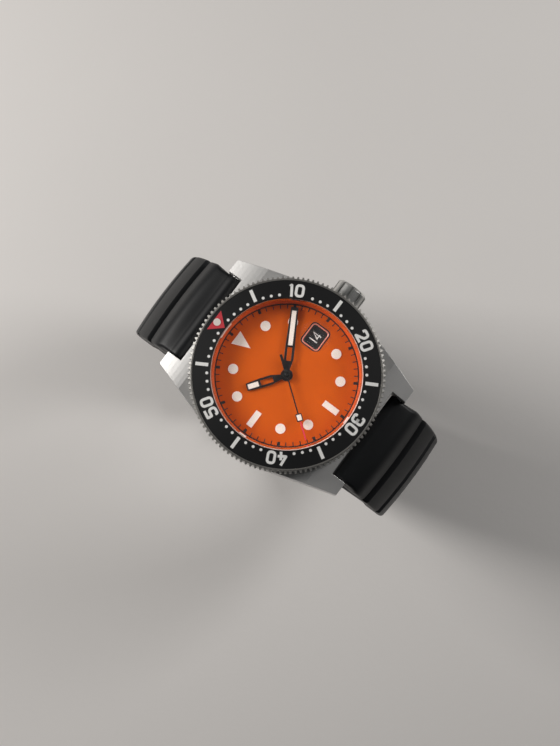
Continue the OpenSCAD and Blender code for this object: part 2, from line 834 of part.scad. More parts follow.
module pallet_bridge() {
    color("gainsboro")
        difference() {
            union() {
                translate([pallet_p[0], pallet_p[1] - 0.5, pallet_bridge_z])
                    cube([pallet_post_p[0] - pallet_p[0], 1, pallet_bridge_t]);
                for (p = [pallet_p, pallet_post_p])
                    translate([p[0], p[1], 0])
                        post(0.5, pallet_bridge_z, pallet_bridge_z + pallet_bridge_t);
            }
            translate([pallet_p[0], pallet_p[1], 0])
                post(pivot_r + pivot_gap, pallet_bridge_z - 1, pallet_bridge_z + 1);
        }
}

module automatic_bridge() {
    color("gainsboro")
        difference() {
            post(auto_bridge_r, auto_z, bridge_z);
            for (p = auto_screws)
                translate([p[0], p[1], 0]) {
                    post(screw_r + fitted, auto_z - 1, bridge_z + 1);
                    post(screw_head_r + fitted, auto_z - 1, auto_z + auto_screw_head_t);
                }
            translate([barrel_p[0], barrel_p[1], 0])
                post(barrel_arbor_r + 0.3, auto_z - 1, bridge_z + 1);
        }
}

module rotor_bearing() {
    color("silver") {
        post(bearing_r, bearing_z, auto_z);
        post(bearing_r + 0.5, auto_z - 0.1, auto_z);
        post(bearing_r + 0.4, bearing_z - 0.15, bearing_z);
    }
}

module movement_screws() {
    color("steelblue") {
        for (p = bridge_screws)
            translate([p[0], p[1], 0]) {
                post(screw_head_r, bridge_z + fitted, bridge_z + screw_head_t);
                post(screw_r, bridge_z + fitted, bridge_top + screw_len);
            }
        for (p = auto_screws)
            translate([p[0], p[1], 0]) {
                post(screw_head_r, auto_z + fitted, auto_z + auto_screw_head_t);
                post(screw_r, auto_z + fitted, bridge_top - 0.05);
            }
    }
}

module jewels() {
    color("crimson") {
        for (p = plate_jewels)
            translate([p[0], p[1], 0])
                ring(jewel_r, pivot_r + pivot_gap, plate_z, plate_z + jewel_t);
        for (p = bridge_jewels)
            translate([p[0], p[1], 0])
                ring(jewel_r, pivot_r + pivot_gap, bridge_top - jewel_t, bridge_top);
    }
}

// ---- Bezel ----

wire_z = bezel_z + 1.3;
click_r = (neck_r + bezel_r) / 2 - 0.1;
bezel_root_r = bezel_r - bezel_tooth_depth;
bezel_rim_r = bezel_root_r - 0.08;
insert_r = bezel_root_r - bezel_lip;
pip_r = insert_r - pip_in;
click_pitch = 360 / bezel_teeth;
click_lean = 0.3;
pawl_i = bezel_teeth / 4;

// Outline of the bezel's coin edge
function coin_edge() = [for (i = [0 : bezel_teeth - 1], k = [0 : 3])
    polar([bezel_root_r, bezel_r, bezel_r, bezel_root_r][k],
        (i + [-0.28, -0.14, 0.14, 0.28][k]) * click_pitch)];

// Outline of the click teeth: each rises slowly and drops steeply, so that the bezel turns one way
function click_outline() = [for (i = [0 : bezel_teeth - 1], k = [0 : 1])
    polar(click_r + (k == 0 ? 0 : click_depth), (i + k * click_lean) * click_pitch)];

module bezel_ring() {
    color("silver")
        difference() {
            intersection() {
                rotate_extrude($fn = 96)
                    polygon([[neck_r + running, bezel_z], [bezel_rim_r, bezel_z],
                        [bezel_r, bezel_z + 0.4], [bezel_r, bezel_top - 0.5],
                        [bezel_rim_r, bezel_top], [insert_r, bezel_top],
                        [insert_r, insert_z], [neck_r + running, insert_z]]);
                translate([0, 0, bezel_z - 1])
                    linear_extrude(bezel_h + 2)
                        polygon(coin_edge());
            }
            translate([0, 0, bezel_z - 1])
                linear_extrude(click_h + 1)
                    polygon(click_outline());
            rotate_extrude($fn = 96)
                translate([neck_r, wire_z])
                    circle(r = wire_d / 2 + running, $fn = 24);
        }
}

module bezel_insert() {
    color("black")
        difference() {
            rotate_extrude($fn = 96)
                polygon([[insert_bore_r, insert_z], [insert_r - fitted, insert_z],
                    [insert_r - fitted, bezel_top - 0.05],
                    [insert_bore_r, bezel_top - 0.05 + insert_rise]]);
            translate([0, pip_r, 0])
                post(pip_d / 2 + fitted, insert_z + 0.2, bezel_top + 1);
        }
}

module bezel_pip() {
    color("ivory")
        translate([0, pip_r, 0])
            post(pip_d / 2, insert_z + 0.2, bezel_top + insert_rise / 2 + 0.1);
}

// A flat spring around the neck whose pawl drops between the click teeth
module click_spring() {
    color("silver") {
        ring(click_r - 0.25, neck_r + 0.1, case_top, case_top + click_spring_t);
        translate([0, 0, case_top])
            linear_extrude(bezel_gap + click_h - 0.1)
                polygon([polar(click_r + click_depth - 0.12, (pawl_i + click_lean) * click_pitch),
                    polar(click_r - 0.3, (pawl_i + 0.85) * click_pitch),
                    polar(click_r - 0.3, (pawl_i + 0.1) * click_pitch)]);
    }
}

module bezel_wire() {
    color("silver")
        rotate_extrude($fn = 96)
            translate([neck_r, wire_z])
                circle(r = wire_d / 2, $fn = 24);
}

module lug_spring_bars() {
    color("silver")
        for (s = [-1, 1])
            translate([0, s * lug_bar_y, lug_bar_z])
                bar_x(lug_bar_r, -lug_gap / 2 - lug_bar_hole + 0.1, lug_gap / 2 + lug_bar_hole - 0.1);
}

// ---- Crown and winding ----

winding_r = winding_n * winding_module / 2 + winding_module * 0.85;
pinion_len = 1.1;
slider_x = winding_x + pinion_len / 2 + 0.1;
slider_len = 1.4;
square_w = 0.7;

module crown() {
    color("darkgray")
        translate([0, 0, stem_z])
            difference() {
                rotate([0, 90, 0])
                    rotate_extrude($fn = 64)
                        polygon([[crown_bore_r, crown_x], [crown_r - 0.3, crown_x],
                            [crown_r, crown_x + 0.3], [crown_r, crown_end - 0.5],
                            [crown_r - 0.5, crown_end], [0, crown_end],
                            [0, crown_floor], [crown_bore_r, crown_floor]]);
                translate([crown_gasket_x, 0, 0])
                    rotate([0, 90, 0])
                        rotate_extrude($fn = 48)
                            translate([crown_gasket_r, 0])
                                circle(r = crown_gasket_d / 2 + fitted, $fn = 24);
                for (i = [0 : crown_flutes - 1])
                    rotate([i * 360 / crown_flutes, 0, 0])
                        translate([crown_x - 1, -flute_w / 2, crown_r - flute_depth])
                            cube([crown_len + 2, flute_w, 2]);
                bar_x(stem_r + fitted, crown_floor - 1, crown_end - 0.6);
            }
}

// The stem's square still holds half of the sliding pinion when the crown is pulled out
stem_in_x = slider_x + slider_len / 2 - crown_travel;
square_out_x = slider_x + slider_len + 0.3;
module winding_stem() {
    color("silver")
        translate([0, 0, stem_z]) {
            bar_x(stem_r, square_out_x - 0.1, crown_end - 0.65);
            translate([stem_in_x, -square_w / 2, -square_w / 2])
                cube([square_out_x - stem_in_x, square_w, square_w]);
        }
}

module crown_gasket() {
    color("black")
        translate([crown_gasket_x, 0, stem_z])
            rotate([0, 90, 0])
                rotate_extrude($fn = 48)
                    translate([crown_gasket_r, 0])
                        circle(r = crown_gasket_d / 2, $fn = 24);
}

module winding_gear(x, len, a) {
    translate([x, 0, stem_z])
        rotate([0, 90, 0])
            gear(winding_n, winding_module, 0, len, a);
}

module winding_pinion() {
    color("silver")
        difference() {
            winding_gear(winding_x - pinion_len / 2, pinion_len, 0);
            translate([0, 0, stem_z])
                bar_x(square_w * 0.75, 0, crown_x);
        }
}

module sliding_pinion() {
    color("silver")
        difference() {
            winding_gear(slider_x, slider_len, 0);
            translate([0, -square_w / 2 - running, stem_z - square_w / 2 - running])
                cube([crown_x, square_w + 2 * running, square_w + 2 * running]);
        }
}

module crown_wheel() {
    color("silver")
        translate([crown_wheel_p[0], crown_wheel_p[1], 0]) {
            gear(crown_wheel_n, winding_module, winding_wheel_z, 0.2, winding_a);
            post(0.45, bridge_top - 0.25, winding_wheel_z + eps);
        }
}

module ratchet_wheel() {
    color("silver")
        translate([barrel_p[0], barrel_p[1], 0])
            difference() {
                gear(ratchet_n, winding_module, winding_wheel_z, 0.2, winding_a + 180 + 180 / ratchet_n);
                post(barrel_arbor_r + fitted, bridge_top, plate_z);
            }
}

module barrel_arbor() {
    color("silver")
        translate([barrel_p[0], barrel_p[1], 0])
            post(barrel_arbor_r, bridge_z + 0.1, plate_z - 0.05);
}

barrel_wall_r = barrel_n * barrel_module / 2 - 1.15 * barrel_module;
barrel_wall = 0.25;
module barrel() {
    color("goldenrod")
        translate([barrel_p[0], barrel_p[1], 0])
            difference() {
                union() {
                    post(barrel_wall_r, barrel_z, barrel_z + barrel_h);
                    gear(barrel_n, barrel_module, barrel_teeth_z, 0.3, barrel_a + 180);
                }
                post(barrel_wall_r - barrel_wall, barrel_z + 0.15, barrel_z + barrel_h - 0.15);
                post(barrel_arbor_r + running, barrel_z - 1, barrel_z + barrel_h + 1);
            }
}

// Outline of a spiral strip of width w from radius r0 to r1 in the given number of turns
function spiral(r0, r1, turns, w, steps = 20) = concat(
    [for (i = [0 : turns * steps]) polar(r0 + (r1 - r0) * i / (turns * steps), i * 360 / steps)],
    [for (i = [turns * steps : -1 : 0]) polar(r0 + w + (r1 - r0) * i / (turns * steps), i * 360 / steps)]);

module mainspring() {
    color("slategray")
        translate([barrel_p[0], barrel_p[1], barrel_z + 0.2])
            linear_extrude(barrel_h - 0.4)
                polygon(spiral(barrel_arbor_r + 0.3, barrel_wall_r - barrel_wall - 0.25, 6, 0.15));
}

// ---- Going train ----

module fourth_wheel() {
    color("goldenrod") {
        gear(fourth_n, fourth_module, fourth_wheel_z, wheel_t, escape_a);
        gear(fourth_pinion_n, third_module, third_wheel_z - 0.1, 0.35, third_a + 180 / fourth_pinion_n);
        post(cannon_bore_r - running, bridge_top + running, seconds_hand_z);
        post(pivot_r, bridge_top - jewel_t / 2, bridge_top + 0.1);
    }
}

module centre_wheel() {
    color("goldenrod")
        difference() {
            union() {
                gear(centre_n, centre_module, centre_wheel_z, centre_wheel_t, third_a);
                gear(centre_pinion_n, barrel_module, barrel_teeth_z - 0.1, 0.7,
                    barrel_a + 180 / centre_pinion_n);
                post(cannon_r, centre_wheel_z, minute_hand_z + hand_t);
                gear(cannon_n, motion_module, motion_z + 0.1, 0.35, motion_a);
            }
            post(cannon_bore_r, plate_z - 3, seconds_hand_z);
        }
}

module third_wheel() {
    color("goldenrod")
        translate([third_p[0], third_p[1], 0]) {
            gear(third_n, third_module, third_wheel_z, wheel_t, third_a + 180);
            gear(third_pinion_n, centre_module, centre_wheel_z - 0.1, 0.4,
                third_a + 180 + 180 / third_pinion_n);
            arbor(0.25, bridge_top, plate_z);
        }
}

// Outline of the escape wheel: club teeth leaning the way it turns
function escape_outline() = [for (i = [0 : escape_teeth - 1], k = [0 : 3])
    polar([0.72, 0.76, 1, 0.98][k] * escape_r, (i + [0, 0.35, 0.75, 0.95][k]) * 360 / escape_teeth)];

module escape_wheel() {
    color("goldenrod")
        translate([escape_p[0], escape_p[1], 0]) {
            translate([0, 0, escape_z])
                linear_extrude(wheel_t)
                    polygon(escape_outline());
            gear(escape_pinion_n, fourth_module, fourth_wheel_z - 0.1, 0.35,
                escape_a + 180 + 180 / escape_pinion_n);
            arbor(0.2, bridge_top, plate_z);
        }
}

// The fork: two arms that hold the pallet stones and a lever towards the balance
pallet_gap = 0.22;
stone_a = 36;
stone_r = escape_r + pallet_gap + 0.15;
module pallet_fork() {
    color("silver")
        translate([escape_p[0], escape_p[1], escape_z])
            rotate(balance_a) {
                linear_extrude(wheel_t)
                    union() {
                        polygon(concat(
                            [for (a = [-stone_a : 12 : stone_a]) polar(stone_r - 0.15, a)],
                            [for (a = [stone_a : -12 : -stone_a]) polar(stone_r + 0.3, a)]));
                        translate([pallet_d, -0.18])
                            square([1.05, 0.36]);
                        translate([pallet_d, 0])
                            circle(r = 0.35, $fn = 24);
                    }
            }
    color("silver")
        translate([pallet_p[0], pallet_p[1], 0]) {
            post(0.18, pallet_bridge_z + pallet_bridge_t + running, plate_z - running);
            post(pivot_r, pallet_bridge_z + 0.02, plate_z + jewel_t / 2);
        }
}

balance_rim_t = 0.35;
module balance_wheel() {
    color("goldenrod")
        translate([balance_p[0], balance_p[1], 0]) {
            ring(balance_r, balance_r - 0.5, balance_z, balance_z + balance_rim_t);
            for (i = [0 : 2])
                rotate(i * 120 + balance_a)
                    translate([0, -0.2, balance_z])
                        cube([balance_r - 0.4, 0.4, 0.2]);
            arbor(0.2, bridge_top, plate_z);
            post(0.45, balance_z, balance_z + balance_rim_t);
        }
}

module hairspring() {
    color("steelblue")
        translate([balance_p[0], balance_p[1], bridge_top + 0.08])
            linear_extrude(0.15)
                polygon(spiral(0.5, 2.3, 7, 0.07));
}

module minute_wheel() {
    color("goldenrod")
        translate([motion_p[0], motion_p[1], 0])
            difference() {
                union() {
                    gear(minute_n, motion_module, motion_z + 0.15, 0.2, motion_a + 180 + 180 / minute_n);
                    gear(minute_pinion_n, hour_module, motion_z + 0.3, hour_wheel_z + 0.1 - motion_z,
                        motion_a + 180);
                }
                post(motion_stud_r + running, motion_z - 1, dial_z);
            }
}

module hour_wheel() {
    color("goldenrod")
        difference() {
            union() {
                gear(hour_n, hour_module, hour_wheel_z, 0.2, motion_a + 180 / hour_n);
                post(hour_pipe_r, hour_wheel_z, hour_hand_z + hand_t);
            }
            post(cannon_r + running, motion_z, minute_hand_z);
        }
}

// ---- Hands ----

// A framed hand that points to 12: an open slot near the hub and a window for the luminous filling
module framed_hand(z, len, tip_w, wide_w, slot, window, window_w) {
    translate([0, 0, z])
        difference() {
            union() {
                cylinder(r = hub_r, h = hand_t);
                linear_extrude(hand_t)
                    polygon([[-tip_w / 2, len], [tip_w / 2, len], [wide_w / 2, slot[1]],
                        [wide_w / 2, slot[0] + 0.3], [0.45, hub_r - 0.2], [-0.45, hub_r - 0.2],
                        [-wide_w / 2, slot[0] + 0.3], [-wide_w / 2, slot[1]]]);
            }
            translate([-window_w / 2, slot[0], -1])
                cube([window_w, slot[1] - slot[0], 2]);
            translate([-window_w / 2, window[0], -1])
                cube([window_w, window[1] - window[0], 2]);
        }
}

module window_filling(z, window, window_w) {
    translate([-window_w / 2 + fitted, window[0] + fitted, z + 0.02])
        cube([window_w - 2 * fitted, window[1] - window[0] - 2 * fitted, hand_t]);
}

minute_slot = [2.9, 5.65];
minute_window = [6.05, 13.2];
minute_window_w = 0.95;
hour_slot = [2.9, 5.5];
hour_window = [5.95, 8.2];
hour_window_w = 1.04;

module hour_hand() {
    color("black")
        rotate(-hour_angle)
            difference() {
                framed_hand(hour_hand_z, hour_len, 1.56, 1.95, hour_slot, hour_window, hour_window_w);
                post(hour_pipe_r + fitted, 0, crystal_top);
            }
}

module hour_hand_lume() {
    color("ivory")
        rotate(-hour_angle)
            window_filling(hour_hand_z, hour_window, hour_window_w);
}

module minute_hand() {
    color("black")
        rotate(-minute_angle)
            difference() {
                framed_hand(minute_hand_z, minute_len, 1.5, 1.95, minute_slot, minute_window,
                    minute_window_w);
                post(cannon_r + fitted, 0, crystal_top);
            }
}

module minute_hand_lume() {
    color("ivory")
        rotate(-minute_angle)
            window_filling(minute_hand_z, minute_window, minute_window_w);
}

seconds_frame = [1.3, 1.6];
seconds_lume = [0.95, 1.2];
module seconds_hand() {
    color("black")
        rotate(-seconds_angle)
            translate([0, 0, seconds_hand_z])
                difference() {
                    union() {
                        cylinder(r = 0.75, h = hand_t * 2);
                        translate([-0.14, 0, 0])
                            cube([0.28, seconds_len, hand_t]);
                        translate([-0.28, -seconds_tail, 0])
                            cube([0.56, seconds_tail, hand_t]);
                        translate([-seconds_frame[0] / 2, seconds_frame_r - seconds_frame[1] / 2, 0])
                            cube([seconds_frame[0], seconds_frame[1], hand_t]);
                    }
                    translate([-seconds_lume[0] / 2, seconds_frame_r - seconds_lume[1] / 2, -1])
                        cube([seconds_lume[0], seconds_lume[1], 2]);
                }
}

module seconds_hand_lume() {
    color("ivory")
        rotate(-seconds_angle)
            translate([-seconds_lume[0] / 2 + fitted, seconds_frame_r - seconds_lume[1] / 2 + fitted,
                seconds_hand_z])
                cube([seconds_lume[0] - 2 * fitted, seconds_lume[1] - 2 * fitted, hand_t]);
}

// ---- Date and rotor ----

date_teeth = 31;
module date_disc() {
    color("black")
        difference() {
            post(date_disc_out, plate_top + 0.08, plate_top + 0.23);
            translate([0, 0, plate_top])
                linear_extrude(1)
                    polygon([for (i = [0 : date_teeth - 1], k = [0 : 3])
                        polar(date_disc_in + [0, 0.3, 0.3, 0][k],
                            (i + [0, 0.1, 0.6, 0.7][k]) * 360 / date_teeth)]);
        }
}

rotor_r = movement_r - 0.1;
rotor_hole_ring = 6.2;
rotor_hole_r = 1.7;
module rotor() {
    color("silver")
        difference() {
            union() {
                post(bearing_r + 0.9, rotor_z, rotor_z + rotor_t);
                intersection() {
                    union() {
                        post(rotor_r - 0.5, rotor_z, rotor_z + rotor_t);
                        ring(rotor_r, rotor_r - rotor_rim_w, rotor_z, rotor_z + rotor_rim_t);
                    }
                    translate([-rotor_r - 1, -rotor_r - 1, 0])
                        cube([2 * rotor_r + 2, rotor_r + 1, plate_z]);
                }
            }
            post(bearing_r + running, 0, plate_z);
            for (a = [-150, -90, -30])
                rotate(a)
                    translate([rotor_hole_ring, 0, 0])
                        post(rotor_hole_r, 0, plate_z);
        }
}

// ---- Strap ----

// The closed loop is part of an ellipse that passes through both lug spring bars
bar_share = sqrt(1 - (lug_bar_y / loop_half_w) ^ 2);
loop_half_h = (lug_bar_z + loop_depth) / (1 + bar_share);
loop_z = loop_half_h - loop_depth;
bar_t = acos(lug_bar_y / loop_half_w);
last_groove_t = bar_t - rib_count * rib_pitch;

// Smooth step from 0 at a to 1 at b
function ramp(x, a, b) = let (u = min(1, max(0, (x - a) / (b - a)))) u * u * (3 - 2 * u);

// A point of the loop at angle t, moved outwards by d, and the outward direction there
function loop_way(t) = let (n = [loop_half_h * cos(t), loop_half_w * sin(t)]) n / norm(n);
function loop_at(t, d = 0) = [loop_half_w * cos(t), loop_z + loop_half_h * sin(t)] + d * loop_way(t);

// The tail lies outside the buckle half once it has passed through the buckle
layer = tail_t + tail_crown + soft_gap + 0.05;
function tail_offset(t) = layer * ramp(t, -90 + buckle_half_angle + 1.5, -90 - buckle_half_angle + 1.5);

// Thickness, groove share and crown of the strap at angle t
thin_from_t = last_groove_t + 6;
thin_to_t = last_groove_t - 12;
function thick_at(t) = tail_t + (rib_t - tail_t) * ramp(t, thin_to_t, thin_from_t);
function rib_share(t) = (bar_t - t) / rib_pitch - floor((bar_t - t) / rib_pitch);
function groove_at(t) = t < last_groove_t - 1 ? 0
    : let (f = rib_share(t), from_groove = min(f + (t > bar_t - rib_pitch / 2 ? 1 : 0), 1 - f))
        groove_depth * (1 - ramp(from_groove, 0.05, 0.12));
function shoulder_at(t) = rib_shoulder * ramp(t, bar_t + 1.5, bar_t - 7) * ramp(t, bar_t - 15, bar_t - 7);
function crown_at(t) = (tail_crown + (rib_crown - tail_crown) * ramp(t, thin_to_t, thin_from_t))
    * ramp(t, bar_t + 1, bar_t - 6);
function width_at(z) = strap_tail_w + (strap_w - strap_tail_w) * ramp(z, -loop_depth, lug_bar_z);
function flare_at(t) = rib_flare * ramp(t, thin_to_t, thin_from_t) * ramp(t, bar_t - 4, bar_t - 8);

// Angles at which the strap has a section: dense at the ribs and their grooves, wide elsewhere
rib_stations = [0, 0.05, 0.12, 0.28, 0.5, 0.72, 0.88, 0.95];
function stations(t_end) = concat(
    [for (i = [0 : rib_count - 1], f = rib_stations) bar_t - (i + f) * rib_pitch],
    [for (t = [last_groove_t : -3.5 : t_end + 1]) t], [t_end]);

edge_r = 0.5;
edge_dip = 0.08;

// One section of the strap: a flat inner face and a crowned outer face with soft edges
function section(t, d) = let (z = loop_at(t)[1], w = width_at(z) / 2 + flare_at(t), h = thick_at(t) / 2,
        top = h - groove_at(t) + shoulder_at(t), c = crown_at(t))
    [for (q = [[-0.96, -h], [0.96, -h], [1, -h * 0.5], [1, top - edge_r], [0.95, top - edge_dip],
            [0.62, top + 0.6 * c], [0.3, top + 0.91 * c], [-0.3, top + 0.91 * c],
            [-0.62, top + 0.6 * c], [-0.95, top - edge_dip], [-1, top - edge_r], [-1, -h * 0.5]])
        let (p = loop_at(t, d + q[1])) [q[0] * w, p[0], p[1]]];

// A solid swept through the strap's sections
module strap_sweep(ts, offset_on) {
    sections = [for (t = ts) section(t, offset_on ? tail_offset(t) : 0)];
    n = len(sections[0]);
    m = len(ts);
    sides = [for (i = [0 : m - 2], j = [0 : n - 1], k = [0 : 1])
        let (a = i * n + j, b = i * n + (j + 1) % n)
            k == 0 ? [a, b, b + n] : [a, b + n, a + n]];
    caps = [for (j = [1 : n - 2], k = [0 : 1])
        k == 0 ? [0, j + 1, j] : [(m - 1) * n, (m - 1) * n + j, (m - 1) * n + j + 1]];
    polyhedron([for (s = sections, p = s) p], concat(sides, caps));
}

// Moves its children to the loop at angle t, their Y along the strap and their Z outwards
module on_loop(t, d = 0) {
    p = loop_at(t, d);
    n = loop_way(t);
    translate([0, p[0], p[1]])
        rotate([atan2(n[1], n[0]) - 90, 0, 0])
            children();
}

strap_start_t = bar_t - 0.8;
module strap_half(t_end, offset_on) {
    strap_sweep(concat([strap_start_t], [for (t = stations(t_end)) if (t < strap_start_t - 0.3) t]),
        offset_on);
    translate([0, lug_bar_y, lug_bar_z])
        bar_x(strap_end_r, -strap_w / 2 * 0.98, strap_w / 2 * 0.98);
}

module lug_bar_bore() {
    translate([0, lug_bar_y, lug_bar_z])
        bar_x(lug_bar_r + running, -strap_w, strap_w);
}

buckle_t = -90 + buckle_half_angle;
module strap_12() {
    color("dimgray")
        difference() {
            union() {
                strap_half(buckle_t + 0.5, false);
                on_loop(buckle_t)
                    bar_x(buckle_eye_r, -strap_tail_w / 2 * 0.96, strap_tail_w / 2 * 0.96);
            }
            lug_bar_bore();
            on_loop(buckle_t) {
                bar_x(buckle_bar_r + running, -strap_w, strap_w);
                translate([-tang_w / 2 - soft_gap, -5, -4])
                    cube([tang_w + 2 * soft_gap, 5 + 2.4, 8]);
            }
        }
}

// The tang's slot lies slanted, because the tang crosses the strap at an angle
slot_t = -89.75;
slot_slant = 40;
slot_cut = 12;
module strap_6() {
    color("dimgray")
        mirror([0, 1, 0])
            difference() {
                strap_half(-90 - tail_reach, true);
                lug_bar_bore();
                for (k = [-2 : 3])
                    let (slant = k == 0 ? slot_slant : 0)
                        on_loop(slot_t - k * slot_pitch, tail_offset(slot_t - k * slot_pitch))
                            rotate([slant, 0, 0])
                                cube([slot_w, slot_len * cos(slant), slot_cut], center = true);
            }
}

// A keeper: a loop around both layers of the strap at angle t
module keeper(t) {
    w = width_at(loop_at(t)[1]) + 2 * soft_gap;
    low = -tail_t / 2 - soft_gap;
    high = layer + tail_t / 2 + tail_crown + soft_gap;
    on_loop(t)
        translate([0, 0, low])
            difference() {
                translate([-w / 2 - keeper_wall, -keeper_len / 2, -keeper_wall])
                    cube([w + 2 * keeper_wall, keeper_len, high - low + 2 * keeper_wall]);
                translate([-w / 2, -keeper_len, 0])
                    cube([w, 2 * keeper_len, high - low]);
            }
}

module keeper_fixed() {
    color("dimgray")
        keeper(-90 + keeper_fixed_angle);
}

module keeper_free() {
    color("dimgray")
        keeper(-90 + keeper_free_angle);
}

// ---- Buckle ----

bar_p = loop_at(buckle_t);
buckle_arm_in = strap_tail_w / 2 + soft_gap + 0.1;
buckle_out = buckle_arm_in + buckle_arm_w;
rail_r = buckle_arm_t / 2;
rail_p = let (p = loop_at(buckle_t, tail_t / 2 + tail_crown + soft_gap + rail_r)) [-p[0], p[1]];

module buckle_bar() {
    color("silver")
        translate([0, bar_p[0], bar_p[1]])
            bar_x(buckle_bar_r, -buckle_out + 0.5, buckle_out - 0.5);
}

// A U-shaped frame: two arms from the spring bar to the rail over the strap
module buckle_frame() {
    arm_len = norm(rail_p - bar_p);
    arm_a = atan2(rail_p[1] - bar_p[1], rail_p[0] - bar_p[0]);
    arm_h = 2 * rail_r - 0.3;
    color("silver")
        difference() {
            union() {
                for (s = [-1, 1])
                    translate([s * (buckle_arm_in + buckle_arm_w / 2), 0, 0]) {
                        translate([0, bar_p[0], bar_p[1]])
                            rotate([arm_a, 0, 0])
                                translate([-buckle_arm_w / 2, 0, -arm_h / 2])
                                    cube([buckle_arm_w, arm_len, arm_h]);
                        for (p = [bar_p, rail_p])
                            translate([0, p[0], p[1]])
                                bar_x(rail_r, -buckle_arm_w / 2, buckle_arm_w / 2);
                    }
                translate([0, rail_p[0], rail_p[1]])
                    bar_x(rail_r, -buckle_out, buckle_out);
            }
            translate([0, bar_p[0], bar_p[1]])
                bar_x(buckle_bar_r + running, -buckle_out + 0.4, buckle_out - 0.4);
        }
}

// The tang's blade is thinner than its round tip, lies clear of the rail and ends past it
tang_thin = 0.15;
tang_gap = 0.1;
tang_tip = 1.2;
tang_eye_wall = 0.5;

// The tang: an eye on the spring bar and a blade that ends over the rail
module buckle_tang() {
    to_rail = rail_p - bar_p;
    blade_t = tang_t - tang_thin;
    off_rail = rail_r + blade_t / 2 + tang_gap;
    blade_a = atan2(to_rail[1], to_rail[0]) + asin(off_rail / norm(to_rail));
    blade_len = sqrt(norm(to_rail) ^ 2 - off_rail ^ 2) + tang_tip;
    color("silver")
        difference() {
            union() {
                translate([0, bar_p[0], bar_p[1]]) {
                    bar_x(buckle_bar_r + running + tang_eye_wall, -tang_w / 2, tang_w / 2);
                    rotate([blade_a, 0, 0]) {
                        translate([-tang_w / 2, 0, -blade_t / 2])
                            cube([tang_w, blade_len, blade_t]);
                        translate([0, blade_len, 0])
                            bar_x(tang_t / 2, -tang_w / 2, tang_w / 2);
                    }
                }
            }
            translate([0, bar_p[0], bar_p[1]])
                bar_x(buckle_bar_r + running, -tang_w, tang_w);
        }
}

case_middle();
crown_tube();
caseback();
caseback_gasket();
crystal();
crystal_gasket();
date_magnifier();
rehaut_ring();
dial();
hour_markers();
movement_ring();
main_plate();
barrel_bridge();
train_bridge();
balance_cock();
pallet_bridge();
automatic_bridge();
rotor_bearing();
movement_screws();
jewels();
click_spring();
bezel_wire();
lug_spring_bars();
hairspring();
bezel_ring();
bezel_insert();
bezel_pip();
sliding_pinion();
winding_pinion();
crown();
winding_stem();
crown_gasket();
crown_wheel();
ratchet_wheel();
barrel_arbor();
barrel();
mainspring();
fourth_wheel();
seconds_hand();
seconds_hand_lume();
centre_wheel();
minute_hand();
minute_hand_lume();
minute_wheel();
hour_wheel();
hour_hand();
hour_hand_lume();
third_wheel();
escape_wheel();
pallet_fork();
balance_wheel();
date_disc();
rotor();
strap_12();
strap_6();
keeper_fixed();
keeper_free();
buckle_bar();
buckle_frame();
buckle_tang();
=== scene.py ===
import math

import bmesh
import bpy
from mathutils import Matrix, Vector


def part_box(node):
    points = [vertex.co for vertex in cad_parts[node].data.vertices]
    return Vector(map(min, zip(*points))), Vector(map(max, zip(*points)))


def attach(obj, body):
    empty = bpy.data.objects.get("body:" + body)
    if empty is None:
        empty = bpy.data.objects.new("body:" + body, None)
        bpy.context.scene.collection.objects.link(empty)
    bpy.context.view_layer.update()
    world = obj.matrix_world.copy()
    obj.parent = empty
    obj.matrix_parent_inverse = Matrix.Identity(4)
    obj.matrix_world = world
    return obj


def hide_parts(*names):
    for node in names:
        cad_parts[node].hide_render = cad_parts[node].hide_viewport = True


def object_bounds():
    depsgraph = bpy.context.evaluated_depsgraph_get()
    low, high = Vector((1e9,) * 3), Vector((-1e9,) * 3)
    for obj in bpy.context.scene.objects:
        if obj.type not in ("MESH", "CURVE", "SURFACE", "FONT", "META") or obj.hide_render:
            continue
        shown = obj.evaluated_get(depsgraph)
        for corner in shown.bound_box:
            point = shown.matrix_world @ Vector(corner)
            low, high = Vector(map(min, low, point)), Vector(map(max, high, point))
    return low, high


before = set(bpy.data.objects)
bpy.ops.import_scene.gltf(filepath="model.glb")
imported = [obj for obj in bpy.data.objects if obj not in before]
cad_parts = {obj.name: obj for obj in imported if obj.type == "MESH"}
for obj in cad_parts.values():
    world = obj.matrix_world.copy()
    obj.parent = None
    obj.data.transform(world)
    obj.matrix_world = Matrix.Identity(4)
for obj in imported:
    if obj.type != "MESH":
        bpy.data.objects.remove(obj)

cad_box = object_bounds()
MM = 0.001
TAU = 2 * math.pi

# ---- Sizes in millimetres, from the solids ----


def node_box(name):
    """Lowest and highest corners of a CAD node, in millimetres."""
    low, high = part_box(name)
    return low / MM, high / MM


DIAL_Z = node_box("dial")[1].z
INSERT_HIGH_Z = node_box("bezel_insert")[1].z
INSERT_OUT_R = node_box("bezel_insert")[1].x
INSERT_IN_R = 15.45
INSERT_RISE = 0.4
CRYSTAL_LOW_Z = node_box("crystal")[0].z
DATE_DISC_Z = node_box("date_disc")[1].z
DATE_X = 9.75
SECONDS_HIGH_Z = node_box("seconds_hand")[1].z
LUG_BAR_LOW, LUG_BAR_HIGH = node_box("lug_spring_bars")
LUG_BAR_R = (LUG_BAR_HIGH.z - LUG_BAR_LOW.z) / 2
LUG_BAR_Y = LUG_BAR_HIGH.y - LUG_BAR_R
LUG_BAR_Z = LUG_BAR_HIGH.z - LUG_BAR_R


def polar(r, degrees):
    """A point at distance r, its angle measured from 3 o'clock towards 12."""
    a = math.radians(degrees)
    return r * math.cos(a), r * math.sin(a)


def clock_angle(minute):
    """The angle from 3 o'clock of a minute mark."""
    return 90 - 6 * minute


def smooth_step(x, a, b):
    u = min(1.0, max(0.0, (x - a) / (b - a)))
    return u * u * (3 - 2 * u)


# ---- Meshes ----


